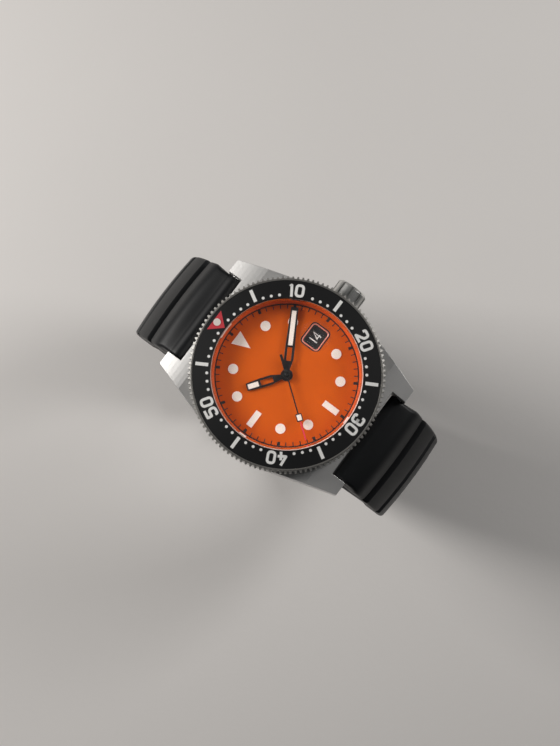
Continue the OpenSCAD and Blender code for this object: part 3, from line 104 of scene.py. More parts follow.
def make_piece(name, verts, faces, material, body, slot, sharp=None):
    """A piece from points in millimetres. sharp is the angle, in degrees, above which edges stay sharp."""
    mesh = bpy.data.meshes.new(name)
    mesh.from_pydata([Vector(v) * MM for v in verts], [], faces)
    mesh.validate()
    if sharp is not None:
        mesh.shade_smooth()
        mesh.set_sharp_from_angle(angle=math.radians(sharp))
    mesh.materials.append(material)
    piece = bpy.data.objects.new(name, mesh)
    bpy.context.scene.collection.objects.link(piece)
    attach(piece, body)
    return piece


class Flat:
    """Flat shapes on one surface, thickened into closed plates: printing, markers and frames."""

    def __init__(self, height, thick):
        self.height = height
        self.thick = thick
        self.verts = []
        self.faces = []

    def add(self, points, cells):
        """Adds one shape: its points in plan and the faces between them, counter-clockwise."""
        first = len(self.verts)
        n = len(points)
        for lift in (0.0, self.thick):
            for x, y in points:
                self.verts.append((x, y, self.height(x, y) + lift))
        edges = {}
        for cell in cells:
            for a, b in zip(cell, cell[1:] + cell[:1]):
                edges[(a, b)] = edges.get((a, b), 0) + 1
        for cell in cells:
            self.faces.append([first + n + i for i in cell])
            self.faces.append([first + i for i in reversed(cell)])
        for a, b in edges:
            if (b, a) not in edges:
                self.faces.append([first + a, first + b, first + n + b, first + n + a])

    def outline(self, points):
        self.add(points, [list(range(len(points)))])

    def disc(self, x, y, r, n=28):
        self.outline([(x + r * math.cos(TAU * i / n), y + r * math.sin(TAU * i / n)) for i in range(n)])

    def bar(self, angle, r0, r1, width):
        """A straight bar that points away from the hand axis."""
        c, s = polar(1, angle)
        self.outline([(c * r - s * w, s * r + c * w)
                      for r, w in ((r0, -width / 2), (r1, -width / 2), (r1, width / 2), (r0, width / 2))])

    def band(self, inner, outer):
        """A closed band between two outlines with as many points each."""
        n = len(inner)
        self.add(inner + outer, [[i, n + i, n + (i + 1) % n, (i + 1) % n] for i in range(n)])

    def ring(self, r_in, r_out, x=0.0, y=0.0, n=180):
        turn = [(math.cos(TAU * i / n), math.sin(TAU * i / n)) for i in range(n)]
        self.band([(x + r_in * c, y + r_in * s) for c, s in turn],
                  [(x + r_out * c, y + r_out * s) for c, s in turn])

    def stroke(self, path, width, place, closed=False):
        """A line of even width along a path. place moves its points onto the surface."""
        left, right = [], []
        n = len(path)
        for i, p in enumerate(path):
            before = path[i - 1] if i or closed else p
            after = path[(i + 1) % n] if i < n - 1 or closed else p
            way_in, way_out = Vector(p) - Vector(before), Vector(after) - Vector(p)
            way_in = way_in.normalized() if way_in.length else way_out.normalized()
            way_out = way_out.normalized() if way_out.length else way_in
            mid = (way_in + way_out).normalized()
            half = width / 2 / max(0.5, mid.dot(way_in))
            side = Vector((-mid.y, mid.x)) * half
            left.append(place(*(Vector(p) + side)))
            right.append(place(*(Vector(p) - side)))
        if closed:
            self.band(right, left) if area(path) < 0 else self.band(left, right)
            return
        self.add(left + right, [[n + i, n + i + 1, i + 1, i] for i in range(n - 1)])

    def piece(self, name, material, body, slot):
        return make_piece(name, self.verts, self.faces, material, body, slot)


def area(path):
    """Twice the signed area of a closed path: positive where it runs counter-clockwise."""
    return sum(a[0] * b[1] - b[0] * a[1] for a, b in zip(path, path[1:] + path[:1]))


def rounded(points, radius, closed=False, steps=5):
    """A path with its corners rounded. radius is one value, or one for each point."""
    radii = radius if isinstance(radius, (list, tuple)) else [radius] * len(points)
    out = []
    n = len(points)
    for i, p in enumerate(points):
        p = Vector(p)
        if not closed and i in (0, n - 1) or radii[i] <= 0:
            out.append(tuple(p))
            continue
        a, b = Vector(points[i - 1]) - p, Vector(points[(i + 1) % n]) - p
        turn = a.angle(b)
        cut = min(radii[i] / math.tan(turn / 2), 0.49 * a.length, 0.49 * b.length)
        a, b = p + a.normalized() * cut, p + b.normalized() * cut
        for k in range(steps + 1):
            u = k / steps
            out.append(tuple(a * (1 - u) ** 2 + p * 2 * u * (1 - u) + b * u ** 2))
    return out


def rounded_box(width, depth, radius, x=0.0, y=0.0):
    """Outline of a rectangle with round corners, counter-clockwise."""
    w, d = width / 2, depth / 2
    corners = [(w, d), (-w, d), (-w, -d), (w, -d)]
    return [(x + px, y + py) for px, py in rounded(corners, radius, closed=True, steps=6)]


def ring_through(loops):
    """Points and faces of a closed ring through loops: closed outlines of as many 3-D points each."""
    m, n = len(loops), len(loops[0])
    verts = [p for loop in loops for p in loop]
    faces = [[k * n + i, k * n + (i + 1) % n, (k + 1) % m * n + (i + 1) % n, (k + 1) % m * n + i]
             for k in range(m) for i in range(n)]
    return verts, faces


def sweep(sections):
    """Points and faces of a closed solid through sections of as many points each."""
    n = len(sections[0])
    verts = [p for s in sections for p in s]
    faces = [[k * n + i, k * n + (i + 1) % n, (k + 1) * n + (i + 1) % n, (k + 1) * n + i]
             for k in range(len(sections) - 1) for i in range(n)]
    last = (len(sections) - 1) * n
    return verts, faces + [list(reversed(range(n))), [last + i for i in range(n)]]


def faces_out(verts, faces):
    """Turns all the faces round where a closed shape comes out inside out."""
    volume = 0.0
    for face in faces:
        a = Vector(verts[face[0]])
        for i in range(1, len(face) - 1):
            volume += a.dot(Vector(verts[face[i]]).cross(Vector(verts[face[i + 1]])))
    return (verts, faces) if volume > 0 else (verts, [list(reversed(face)) for face in faces])


def cut_away(piece, solids, sharp):
    """Takes closed solids, each given as points in millimetres and faces, out of a piece."""
    verts, faces = [], []
    for solid_verts, solid_faces in solids:
        faces += [[len(verts) + i for i in face] for face in solid_faces]
        verts += solid_verts
    mesh = bpy.data.meshes.new("cutter")
    mesh.from_pydata([Vector(v) * MM for v in verts], [], faces)
    cutter = bpy.data.objects.new("cutter", mesh)
    bpy.context.scene.collection.objects.link(cutter)
    cut = piece.modifiers.new("cut", "BOOLEAN")
    cut.operation = "DIFFERENCE"
    cut.solver = "EXACT"
    cut.object = cutter
    ready = piece.evaluated_get(bpy.context.evaluated_depsgraph_get())
    piece.data = bpy.data.meshes.new_from_object(ready)
    piece.modifiers.clear()
    bpy.data.objects.remove(cutter)
    piece.data.shade_smooth()
    piece.data.set_sharp_from_angle(angle=math.radians(sharp))


# ---- Effects that the materials share ----


def put(tree, kind, inputs=None, **settings):
    """Adds a node. Each input is a plain value, or the output that feeds it."""
    node = tree.nodes.new(kind)
    for name, value in settings.items():
        setattr(node, name, value)
    for name, value in (inputs or {}).items():
        if isinstance(value, bpy.types.NodeSocket):
            tree.links.new(value, node.inputs[name])
        else:
            node.inputs[name].default_value = value
    return node


def maths(tree, operation, a, b=0.0, clamp=False):
    return put(tree, "ShaderNodeMath", {0: a, 1: b}, operation=operation, use_clamp=clamp).outputs[0]


def vector_maths(tree, operation, a, b=(0, 0, 0), out="Vector"):
    return put(tree, "ShaderNodeVectorMath", {0: a, 1: b}, operation=operation).outputs[out]


def mix_colour(tree, share, a, b):
    return put(tree, "ShaderNodeMix", {0: share, 6: a, 7: b}, data_type="RGBA").outputs[2]


def map_range(tree, value, low, high, to_low=0.0, to_high=1.0, smooth=False):
    return put(tree, "ShaderNodeMapRange", {"Value": value, "From Min": low, "From Max": high,
                                            "To Min": to_low, "To Max": to_high},
               interpolation_type="SMOOTHSTEP" if smooth else "LINEAR").outputs["Result"]


SOCKETS = {"value": "NodeSocketFloat", "vector": "NodeSocketVector", "colour": "NodeSocketColor"}


def new_group(name, inputs, outputs):
    """An empty node group with named sockets. inputs maps a name to (kind, default value)."""
    tree = bpy.data.node_groups.new(name, "ShaderNodeTree")
    for label, (kind, value) in inputs.items():
        socket = tree.interface.new_socket(name=label, in_out="INPUT", socket_type=SOCKETS[kind])
        socket.default_value = value
    for label, kind in outputs.items():
        tree.interface.new_socket(name=label, in_out="OUTPUT", socket_type=SOCKETS[kind])
    return tree, tree.nodes.new("NodeGroupInput").outputs, tree.nodes.new("NodeGroupOutput").inputs


def millimetres(tree):
    """The place on the piece, in millimetres from the hand axis."""
    place = tree.nodes.new("ShaderNodeTexCoord").outputs["Object"]
    return vector_maths(tree, "MULTIPLY", place, (1000, 1000, 1000))


def in_steps_of(tree, size):
    """The place on the piece, counted in steps of size millimetres."""
    steps = put(tree, "ShaderNodeCombineXYZ", {0: size, 1: size, 2: size})
    return vector_maths(tree, "DIVIDE", millimetres(tree), steps.outputs[0])


def grain_group():
    """Fine even grain, as a height from 0 to 1."""
    tree, given, result = new_group(
        "Fine Grain", {"Size": ("value", 0.2), "Detail": ("value", 3.0)}, {"Height": "value"})
    place = in_steps_of(tree, given["Size"])
    noise = put(tree, "ShaderNodeTexNoise",
                {"Vector": place, "Scale": 1.0, "Detail": given["Detail"], "Roughness": 0.6})
    tree.links.new(noise.outputs[0], result["Height"])
    return tree


def tone_group():
    """Broad soft patches that are a little lighter or darker than the colour."""
    tree, given, result = new_group(
        "Tone Variation",
        {"Colour": ("colour", (0.5, 0.5, 0.5, 1)), "Amount": ("value", 0.1), "Size": ("value", 4.0)},
        {"Colour": "colour"})
    place = in_steps_of(tree, given["Size"])
    noise = put(tree, "ShaderNodeTexNoise", {"Vector": place, "Scale": 1.0, "Detail": 4.0})
    swing = maths(tree, "SUBTRACT", noise.outputs[0], 0.5)
    factor = maths(tree, "MULTIPLY", maths(tree, "MULTIPLY", swing, 4.0), given["Amount"])
    factor = maths(tree, "ADD", factor, 1.0)
    shade = put(tree, "ShaderNodeCombineXYZ", {0: factor, 1: factor, 2: factor})
    tree.links.new(vector_maths(tree, "MULTIPLY", given["Colour"], shade.outputs[0]), result["Colour"])
    return tree


def soft_edge_group():
    """The bevelled normal of an edge, and a mask along it: rubbed through on most finishes, painted highlight
    on the red print and the date frame.
    """
    tree, given, result = new_group(
        "Soft Edge", {"Width": ("value", 0.1), "Wear": ("value", 0.5)},
        {"Normal": "vector", "Mask": "value"})
    radius = maths(tree, "MULTIPLY", given["Width"], MM)
    bevel = put(tree, "ShaderNodeBevel", {"Radius": radius}, samples=4).outputs[0]
    normal = put(tree, "ShaderNodeNewGeometry").outputs["Normal"]
    turned = vector_maths(tree, "DOT_PRODUCT", bevel, normal, out="Value")
    edge = map_range(tree, turned, 0.98, 0.8)
    noise = put(tree, "ShaderNodeTexNoise", {"Vector": millimetres(tree), "Scale": 2.2, "Detail": 5.0})
    rubbed_and_highlit = maths(tree, "MULTIPLY", edge, map_range(tree, noise.outputs[0], 0.35, 0.6))
    tree.links.new(bevel, result["Normal"])
    tree.links.new(maths(tree, "MULTIPLY", rubbed_and_highlit, given["Wear"], clamp=True), result["Mask"])
    return tree


def radius_group():
    """The distance from the hand axis, in millimetres."""
    tree, _, result = new_group("Hand Axis Distance", {}, {"Radius": "value"})
    flat = vector_maths(tree, "MULTIPLY", millimetres(tree), (1, 1, 0))
    tree.links.new(vector_maths(tree, "LENGTH", flat, out="Value"), result["Radius"])
    return tree


def turned_group():
    """Fine circular lines round the hand axis."""
    tree, given, result = new_group("Turned Lines", {"Spacing": ("value", 0.08)}, {"Height": "value"})
    flat = vector_maths(tree, "MULTIPLY", millimetres(tree), (1, 1, 0))
    radius = vector_maths(tree, "LENGTH", flat, out="Value")
    parts = put(tree, "ShaderNodeSeparateXYZ", {0: flat}).outputs
    angle = maths(tree, "ARCTAN2", parts[1], parts[0])
    lines = maths(tree, "DIVIDE", radius, given["Spacing"])
    place = put(tree, "ShaderNodeCombineXYZ", {0: lines, 1: maths(tree, "MULTIPLY", angle, 3.0)})
    noise = put(tree, "ShaderNodeTexNoise", {"Vector": place.outputs[0], "Scale": 1.0, "Detail": 2.0})
    tree.links.new(noise.outputs[0], result["Height"])
    return tree


def brushed_group():
    """Long fine lines: the strokes' size is given along each axis."""
    tree, given, result = new_group("Brushed Lines", {"Stroke": ("vector", (6, 0.08, 0.08))},
                                    {"Height": "value"})
    place = vector_maths(tree, "DIVIDE", millimetres(tree), given["Stroke"])
    noise = put(tree, "ShaderNodeTexNoise", {"Vector": place, "Scale": 1.0, "Detail": 2.0})
    tree.links.new(noise.outputs[0], result["Height"])
    return tree


GRAIN, TONE, SOFT_EDGE = grain_group(), tone_group(), soft_edge_group()
RADIUS, TURNED, BRUSHED = radius_group(), turned_group(), brushed_group()


def effect(tree, group, **inputs):
    """Places a shared effect with its own values."""
    return put(tree, "ShaderNodeGroup", inputs, node_tree=group).outputs


# ---- Materials ----

# Radii in millimetres: painted shade darkens the bezel ring inside the first, where shade falls between its
# teeth, and the seconds hand turns red beyond the second.
BEZEL_SHADE_R, RED_TIP_R = 19.54, 9.9
# Painted shade darkens the dial from the first radius to the second, towards its rim.
DIAL_SHADE_START_R, DIAL_SHADE_FULL_R = 9.0, 15.5


class Finish:
    """One material: its shader, and the colour, roughness and surface that effects are added to."""

    def __init__(self, name, colour, rough, metal=0.0, coat=0.0, specular=0.5):
        self.material = bpy.data.materials.new(name)
        self.material.use_nodes = True
        self.tree = self.material.node_tree
        self.shader = self.tree.nodes["Principled BSDF"]
        self.colour = (*colour, 1)
        self.rough = rough
        self.normal = None
        self.shader.inputs["Metallic"].default_value = metal
        self.shader.inputs["Coat Weight"].default_value = coat
        self.shader.inputs["Specular IOR Level"].default_value = specular

    def tone(self, amount, size):
        """Varies the colour by amount, in patches of size millimetres."""
        self.colour = effect(self.tree, TONE, Colour=self.colour, Amount=amount, Size=size)["Colour"]
        return self

    def blend(self, mask, colour):
        self.colour = mix_colour(self.tree, mask, self.colour, (*colour, 1))
        return self

    def rough_by(self, mask, change):
        """Adds change times the mask to the roughness."""
        self.rough = maths(self.tree, "ADD", maths(self.tree, "MULTIPLY", mask, change), self.rough)
        return self

    def bump(self, height, depth):
        """Raises the surface by depth millimetres where height is 1."""
        inputs = {"Height": height, "Distance": depth * MM, "Strength": 1.0}
        if self.normal is not None:
            inputs["Normal"] = self.normal
        self.normal = put(self.tree, "ShaderNodeBump", inputs).outputs[0]
        return self

    def edges(self, width, edge_rub_and_highlight=0.0, colour=(0.8, 0.8, 0.8)):
        """Rounds the edges by width millimetres, and turns them towards colour: rubbed through on most
        finishes, painted highlight on the red print and the date frame. Comes before any bump.
        """
        edge = effect(self.tree, SOFT_EDGE, Width=width, Wear=edge_rub_and_highlight)
        self.normal = edge["Normal"]
        if edge_rub_and_highlight:
            self.blend(edge["Mask"], colour)
        return self

    def grain(self, size, depth, rough=0.2, detail=3.0):
        """Grain of size and depth in millimetres, which also varies the roughness."""
        height = effect(self.tree, GRAIN, Size=size, Detail=detail)["Height"]
        return self.rough_by(maths(self.tree, "SUBTRACT", height, 0.5), rough).bump(height, depth)

    def radius(self):
        return effect(self.tree, RADIUS)["Radius"]

    def done(self):
        for name, value in (("Base Color", self.colour), ("Roughness", self.rough), ("Normal", self.normal)):
            if isinstance(value, bpy.types.NodeSocket):
                self.tree.links.new(value, self.shader.inputs[name])
            elif value is not None:
                self.shader.inputs[name].default_value = value
        return self.material


def even_finish(name, colour, rough, tone, grain):
    """Only soft patches and grain. tone is their amount and size, and grain is its size and depth."""
    return Finish(name, colour, rough).tone(*tone).grain(*grain).done()


def blasted_titanium():
    f = Finish("Blasted titanium", (0.66, 0.655, 0.645), 0.42, metal=0.75)
    f.tone(0.035, 7.0).edges(0.12, 0.35, (0.82, 0.82, 0.8))
    return f.grain(0.16, 0.012, rough=0.25, detail=4.0).done()


def bezel_titanium():
    f = Finish("Bezel titanium", (0.62, 0.61, 0.58), 0.42, metal=0.85)
    f.tone(0.05, 3.0).edges(0.07, 0.6, (0.8, 0.79, 0.76))
    # Painted shade: the ring is darker inside the radius of the teeth's roots, where shade falls between the
    # teeth.
    root_shade = map_range(f.tree, f.radius(), BEZEL_SHADE_R + 0.04, BEZEL_SHADE_R - 0.04)
    f.blend(root_shade, (0.34, 0.33, 0.31))
    return f.grain(0.12, 0.006).done()


def crown_titanium():
    f = Finish("Crown titanium", (0.62, 0.62, 0.6), 0.3, metal=0.9)
    f.tone(0.04, 2.0).edges(0.09, 0.5, (0.85, 0.85, 0.83))
    f.bump(effect(f.tree, BRUSHED, Stroke=(3.0, 0.06, 0.06))["Height"], 0.004)
    return f.grain(0.1, 0.002).done()


def insert_black():
    f = Finish("Insert black", (0.004, 0.0042, 0.0046), 0.42, specular=0.6)
    f.tone(0.08, 5.0).edges(0.05)
    f.bump(effect(f.tree, TURNED, Spacing=0.07)["Height"], 0.0012)
    return f.grain(0.08, 0.0008).done()


def print_red():
    f = Finish("Red print", (0.56, 0.04, 0.055), 0.45)
    # The edges turn a lighter pink: a painted highlight along the print's edges.
    f.tone(0.06, 0.9).edges(0.06, 0.5, (0.85, 0.35, 0.36))
    return f.grain(0.06, 0.002).done()


def lume():
    f = Finish("Luminous paint", (0.77, 0.7, 0.64), 0.6)
    f.tone(0.02, 0.7).edges(0.05)
    return f.grain(0.07, 0.006, rough=0.15, detail=5.0).done()


def dial_orange():
    f = Finish("Dial orange", (0.53, 0.088, 0.003), 0.5, specular=0.12)
    f.tone(0.03, 5.0)
    # Painted shade: the orange darkens towards the rim, where the rehaut and the bezel cast their shade on the
    # dial.
    rim = map_range(f.tree, f.radius(), DIAL_SHADE_START_R, DIAL_SHADE_FULL_R, 0.0, 0.35, smooth=True)
    f.blend(rim, (0.39, 0.045, 0.004))
    return f.grain(0.05, 0.0015, rough=0.12, detail=4.0).done()


def rehaut_orange():
    f = Finish("Rehaut orange", (0.6, 0.085, 0.012), 0.38)
    f.tone(0.04, 3.0).edges(0.05)
    f.bump(effect(f.tree, TURNED, Spacing=0.1)["Height"], 0.002)
    return f.grain(0.05, 0.001).done()


def date_frame_orange():
    # Painted highlight on the frame's bevel: its orange is lighter and pinker than the dial's, and its edges
    # turn pale pink.
    f = Finish("Date frame", (0.75, 0.24, 0.17), 0.3, coat=0.3)
    return f.tone(0.06, 0.8).edges(0.04, 0.6, (0.95, 0.6, 0.5)).grain(0.05, 0.001).done()


def hand_black():
    f = Finish("Hand black", (0.012, 0.011, 0.011), 0.32, specular=0.6)
    f.tone(0.1, 0.8).edges(0.05, 0.35, (0.16, 0.15, 0.15))
    return f.grain(0.05, 0.001).done()


def seconds_hand():
    f = Finish("Seconds hand", (0.012, 0.011, 0.011), 0.34)
    f.tone(0.1, 0.8)
    tip = map_range(f.tree, f.radius(), RED_TIP_R - 0.05, RED_TIP_R + 0.05)
    f.blend(tip, (0.62, 0.03, 0.07))
    return f.edges(0.04).grain(0.05, 0.001).done()


def cap_ring():
    f = Finish("Hand cap", (0.1, 0.1, 0.1), 0.25, metal=1.0)
    f.tone(0.05, 0.4)
    f.bump(effect(f.tree, TURNED, Spacing=0.04)["Height"], 0.001)
    return f.grain(0.04, 0.0005).done()


def sapphire():
    f = Finish("Sapphire", (1, 1, 1), 0.0, specular=0.3)
    f.shader.inputs["IOR"].default_value = 1.77
    f.shader.inputs["Transmission Weight"].default_value = 1.0
    return f.done()


def nickel_plate():
    f = Finish("Nickel plate", (0.62, 0.6, 0.56), 0.32, metal=1.0)
    f.tone(0.05, 2.0).edges(0.06, 0.4)
    return f.grain(0.25, 0.004, rough=0.3).done()


def striped_bridge():
    f = Finish("Striped bridge", (0.66, 0.64, 0.6), 0.26, metal=1.0)
    f.tone(0.04, 2.0).edges(0.06, 0.5)
    place = millimetres(f.tree)
    stripe = put(f.tree, "ShaderNodeTexWave", {"Vector": place, "Scale": 0.09, "Distortion": 0.0},
                 wave_profile="SIN", bands_direction="DIAGONAL").outputs[1]
    f.rough_by(stripe, 0.22).bump(stripe, 0.02)
    f.bump(effect(f.tree, BRUSHED, Stroke=(0.05, 2.0, 2.0))["Height"], 0.002)
    return f.done()


def brass():
    f = Finish("Gilt brass", (0.72, 0.5, 0.2), 0.28, metal=1.0)
    f.tone(0.05, 1.5).edges(0.04, 0.5, (0.9, 0.75, 0.4))
    f.bump(effect(f.tree, TURNED, Spacing=0.08)["Height"], 0.002)
    return f.grain(0.08, 0.001).done()


def steel():
    f = Finish("Polished steel", (0.6, 0.6, 0.6), 0.2, metal=1.0)
    f.tone(0.04, 1.5).edges(0.05, 0.4)
    return f.grain(0.06, 0.001).done()


def blued_steel():
    f = Finish("Blued steel", (0.03, 0.06, 0.3), 0.22, metal=1.0)
    return f.tone(0.15, 0.8).edges(0.04, 0.4, (0.3, 0.4, 0.7)).grain(0.06, 0.001).done()


def ruby():
    f = Finish("Synthetic ruby", (0.55, 0.01, 0.06), 0.08, coat=0.6)
    return f.tone(0.12, 0.4).grain(0.06, 0.0005, rough=0.05).done()


def holder():
    f = Finish("White holder", (0.72, 0.72, 0.7), 0.5)
    return f.tone(0.03, 2.0).edges(0.08).grain(0.12, 0.003).done()


def strap_rubber():
    f = Finish("Strap rubber", (0.0075, 0.0083, 0.0095), 0.47, specular=0.3)
    f.tone(0.1, 5.0)
    f.shader.inputs["Sheen Weight"].default_value = 0.04
    f.shader.inputs["Sheen Roughness"].default_value = 0.4
    return f.grain(0.18, 0.006, rough=0.16, detail=5.0).done()


def buckle_steel():
    f = Finish("Buckle steel", (0.5, 0.495, 0.48), 0.38, metal=1.0)
    f.tone(0.04, 3.0).edges(0.15, 0.4, (0.82, 0.82, 0.8))
    return f.grain(0.14, 0.006, rough=0.25).done()


LUME, HAND_BLACK, RUBBER, GLASS = lume(), hand_black(), strap_rubber(), sapphire()
STEEL, BRASS, BLUED, BUCKLE, BRIDGE = steel(), brass(), blued_steel(), buckle_steel(), striped_bridge()
WHITE_PRINT = even_finish("White print", (0.8, 0.8, 0.78), 0.55, (0.03, 0.8), (0.06, 0.002))
BLACK_PRINT = even_finish("Black print", (0.012, 0.008, 0.007), 0.5, (0.1, 0.8), (0.06, 0.002))
MARKER_RIM = even_finish("Marker rim", (0.9, 0.72, 0.66), 0.3, (0.04, 0.7), (0.05, 0.001))
DATE_BLACK = even_finish("Date disc black", (0.01, 0.008, 0.01), 0.5, (0.1, 1.5), (0.06, 0.002))
PALE_GASKET = even_finish("Pale gasket", (0.6, 0.44, 0.4), 0.4, (0.03, 1.0), (0.08, 0.002))
BLACK_GASKET = even_finish("Black gasket", (0.02, 0.02, 0.02), 0.5, (0.1, 1.0), (0.1, 0.003))
FINISHES = {
    blasted_titanium(): ["case_middle", "caseback", "crown_tube"],
    bezel_titanium(): ["bezel_ring"],
    crown_titanium(): ["crown"],
    insert_black(): ["bezel_insert"],
    LUME: ["bezel_pip", "hour_markers", "hour_hand_lume", "minute_hand_lume", "seconds_hand_lume"],
    dial_orange(): ["dial"],
    rehaut_orange(): ["rehaut_ring"],
    HAND_BLACK: ["hour_hand", "minute_hand"],
    seconds_hand(): ["seconds_hand"],
    DATE_BLACK: ["date_disc"],
    GLASS: ["crystal"],
    PALE_GASKET: ["crystal_gasket"],
    BLACK_GASKET: ["caseback_gasket", "crown_gasket"],
    nickel_plate(): ["main_plate"],
    BRIDGE: ["barrel_bridge", "train_bridge", "balance_cock", "pallet_bridge", "automatic_bridge", "rotor"],
    BRASS: ["barrel", "centre_wheel", "third_wheel", "fourth_wheel", "minute_wheel", "hour_wheel",
            "balance_wheel"],
    STEEL: ["bezel_wire", "lug_spring_bars", "sliding_pinion", "winding_pinion", "winding_stem",
            "crown_wheel", "ratchet_wheel", "barrel_arbor", "escape_wheel", "pallet_fork",
            "click_spring", "rotor_bearing", "mainspring"],
    BLUED: ["movement_screws", "hairspring"],
    ruby(): ["jewels"],
    holder(): ["movement_ring"],
    BUCKLE: ["buckle_bar", "buckle_frame", "buckle_tang"],
}
for finish, names in FINISHES.items():
    for name in names:
        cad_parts[name].material_slots[0].material = finish
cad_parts["crystal"].visible_shadow = False

# ---- Bezel markings ----


def insert_height(x, y):
    """The insert slopes down from its inner edge to its outer edge."""
    share = (math.hypot(x, y) - INSERT_IN_R) / (INSERT_OUT_R - INSERT_IN_R)
    return INSERT_HIGH_Z - INSERT_RISE * share - PRINT_SINK


PRINT_T, PRINT_SINK = 0.03, 0.01
BAR_IN_R, BAR_OUT_R, BAR_W = 15.95, 18.58, 0.7
DOT_RING_R, DOT_R = 16.14, 0.3
NUMERAL_R, NUMERAL_H, NUMERAL_W, NUMERAL_LINE, NUMERAL_GAP = 17.1, 2.75, 1.95, 0.55, 0.34
ONE_W = 0.9
HALF_W, HALF_H, HALF_LINE = (NUMERAL_W - NUMERAL_LINE) / 2, (NUMERAL_H - NUMERAL_LINE) / 2, NUMERAL_LINE / 2
TRIANGLE_BASE_Y, TRIANGLE_TIP_Y, TRIANGLE_HALF_W, TRIANGLE_ROWS = 18.38, 15.62, 2.4, 6
# The strokes of each digit: their centre line, the radius at each of its corners, and whether it is closed.
NUMERAL_PATHS = {
    "0": [([(HALF_W, HALF_H), (-HALF_W, HALF_H), (-HALF_W, -HALF_H), (HALF_W, -HALF_H)], 0.62, True)],
    "1": [([(-0.22, HALF_H - 0.32), (0.12, HALF_H), (0.12, -HALF_H - HALF_LINE)], [0, 0.08, 0], False)],
    "2": [([(-HALF_W, 0.5), (-HALF_W, HALF_H), (HALF_W, HALF_H), (HALF_W, 0.1), (-HALF_W, -HALF_H),
            (HALF_W + HALF_LINE, -HALF_H)], [0, 0.62, 0.62, 0.35, 0.04, 0], False)],
    "3": [([(-HALF_W, 0.55), (-HALF_W, HALF_H), (HALF_W, HALF_H), (HALF_W, 0.02), (-0.2, 0.02)],
           [0, 0.6, 0.6, 0.4, 0], False),
          ([(-0.2, -0.02), (HALF_W, -0.02), (HALF_W, -HALF_H), (-HALF_W, -HALF_H), (-HALF_W, -0.55)],
           [0, 0.4, 0.6, 0.6, 0], False)],
    "4": [([(0.3, HALF_H + HALF_LINE), (-HALF_W, -0.45), (HALF_W + HALF_LINE, -0.45)], [0, 0.05, 0], False),
          ([(0.32, 0.35), (0.32, -HALF_H - HALF_LINE)], 0, False)],
    "5": [([(HALF_W + 0.2, HALF_H), (-HALF_W, HALF_H), (-HALF_W, 0.2), (HALF_W, 0.2), (HALF_W, -HALF_H),
            (-HALF_W, -HALF_H), (-HALF_W, -0.6)], [0, 0.1, 0.12, 0.55, 0.6, 0.6, 0], False)],
}


def numeral(flat, digit, angle):
    """One digit with its top outwards, printed on the ring at an angle."""
    out = Vector(polar(1, angle))
    along = Vector((out.y, -out.x))

    def place(u, v):
        return tuple(out * (NUMERAL_R + v) + along * u)

    for points, radii, closed in NUMERAL_PATHS[digit]:
        flat.stroke(rounded(points, radii, closed), NUMERAL_LINE, place, closed)


def bezel_markings():
    """The white print: a bar every ten minutes from 5, the numerals 10 to 50, and dots between."""
    white = Flat(insert_height, PRINT_T)
    for minute in range(5, 60, 10):
        white.bar(clock_angle(minute), BAR_IN_R, BAR_OUT_R, BAR_W)
    dots = [1, 2, 3, 4, 56, 57, 58, 59]
    for minute in range(10, 60, 10):
        dots += [minute + step for step in (-4, -3, -2, 2, 3, 4)]
        digits = str(minute)
        widths = [ONE_W if digit == "1" else NUMERAL_W for digit in digits]
        left = -(sum(widths) + NUMERAL_GAP) / 2
        for digit, width in zip(digits, widths):
            turn = math.degrees((left + width / 2) / NUMERAL_R)
            numeral(white, digit, clock_angle(minute) - turn)
            left += width + NUMERAL_GAP
    for minute in dots:
        white.disc(*polar(DOT_RING_R, clock_angle(minute)), DOT_R)
    white.piece("bezel_numerals", WHITE_PRINT, "bezel", "lume")


def bezel_triangle():
    """The red triangle at 12, in rows of small faces that follow the insert's slope."""
    red = Flat(insert_height, PRINT_T)
    rows = TRIANGLE_ROWS
    points = [(0, TRIANGLE_TIP_Y)]
    for row in range(1, rows + 1):
        y = TRIANGLE_TIP_Y + (TRIANGLE_BASE_Y - TRIANGLE_TIP_Y) * row / rows
        points += [(TRIANGLE_HALF_W * row / rows * (2 * k / rows - 1), y) for k in range(rows + 1)]
    cells = [[0, 2 + k, 1 + k] for k in range(rows)]
    for row in range(rows - 1):
        first = 1 + row * (rows + 1)
        cells += [[first + k, first + k + 1, first + k + rows + 2, first + k + rows + 1] for k in range(rows)]
    red.add(points, cells)
    red.piece("bezel_triangle", print_red(), "bezel", "insert_black")


bezel_markings()
bezel_triangle()

# ---- Dial, date and hands ----

TRACK_IN_R, TRACK_OUT_R, TICK_IN_R = 14.42, 14.68, 13.62
TICK_W, BLOCK_W = 0.2, 0.58
MARKER_RING_R, MARKER_DOT_R = 10.95, 1.02
BATON_RING_R, BATON_LEN, BATON_W, BATON_CORNER = 11.1, 3.5, 1.27, 0.02
WEDGE_TIP_Y, WEDGE_BASE_Y, WEDGE_W, WEDGE_CORNER = 9.2, 12.9, 3.1, 1.55
RIM_W, RIM_PROUD, RIM_T = 0.09, 0.01, 0.14
# Width, depth and corner radius of the date's frame and window.
FRAME_OUT = (4.95, 4.3, 1.05)
FRAME_IN = (3.95, 3.3, 0.6)
WINDOW = (3.4, 2.8, 0.4)
WINDOW_SHADE = (3.1, 2.0, 0.2)
FRAME_LINE, CREST_IN, CREST_HIGH = 0.24, 0.07, 0.09
WINDOW_LAP, FRAME_LAP = 0.01, 0.02
DIAL_PRINT_T, DIAL_SINK = 0.02, 0.005
SHADE_GAP, SHADE_T, SHADE_LAP = 0.06, 0.05, 0.15


def dial_height(x, y):
    return DIAL_Z - DIAL_SINK


def shrunk(box, by):
    """A box's width, depth and corner radius, drawn in by a length on every side."""
    width, depth, radius = box
    return width - 2 * by, depth - 2 * by, radius - by


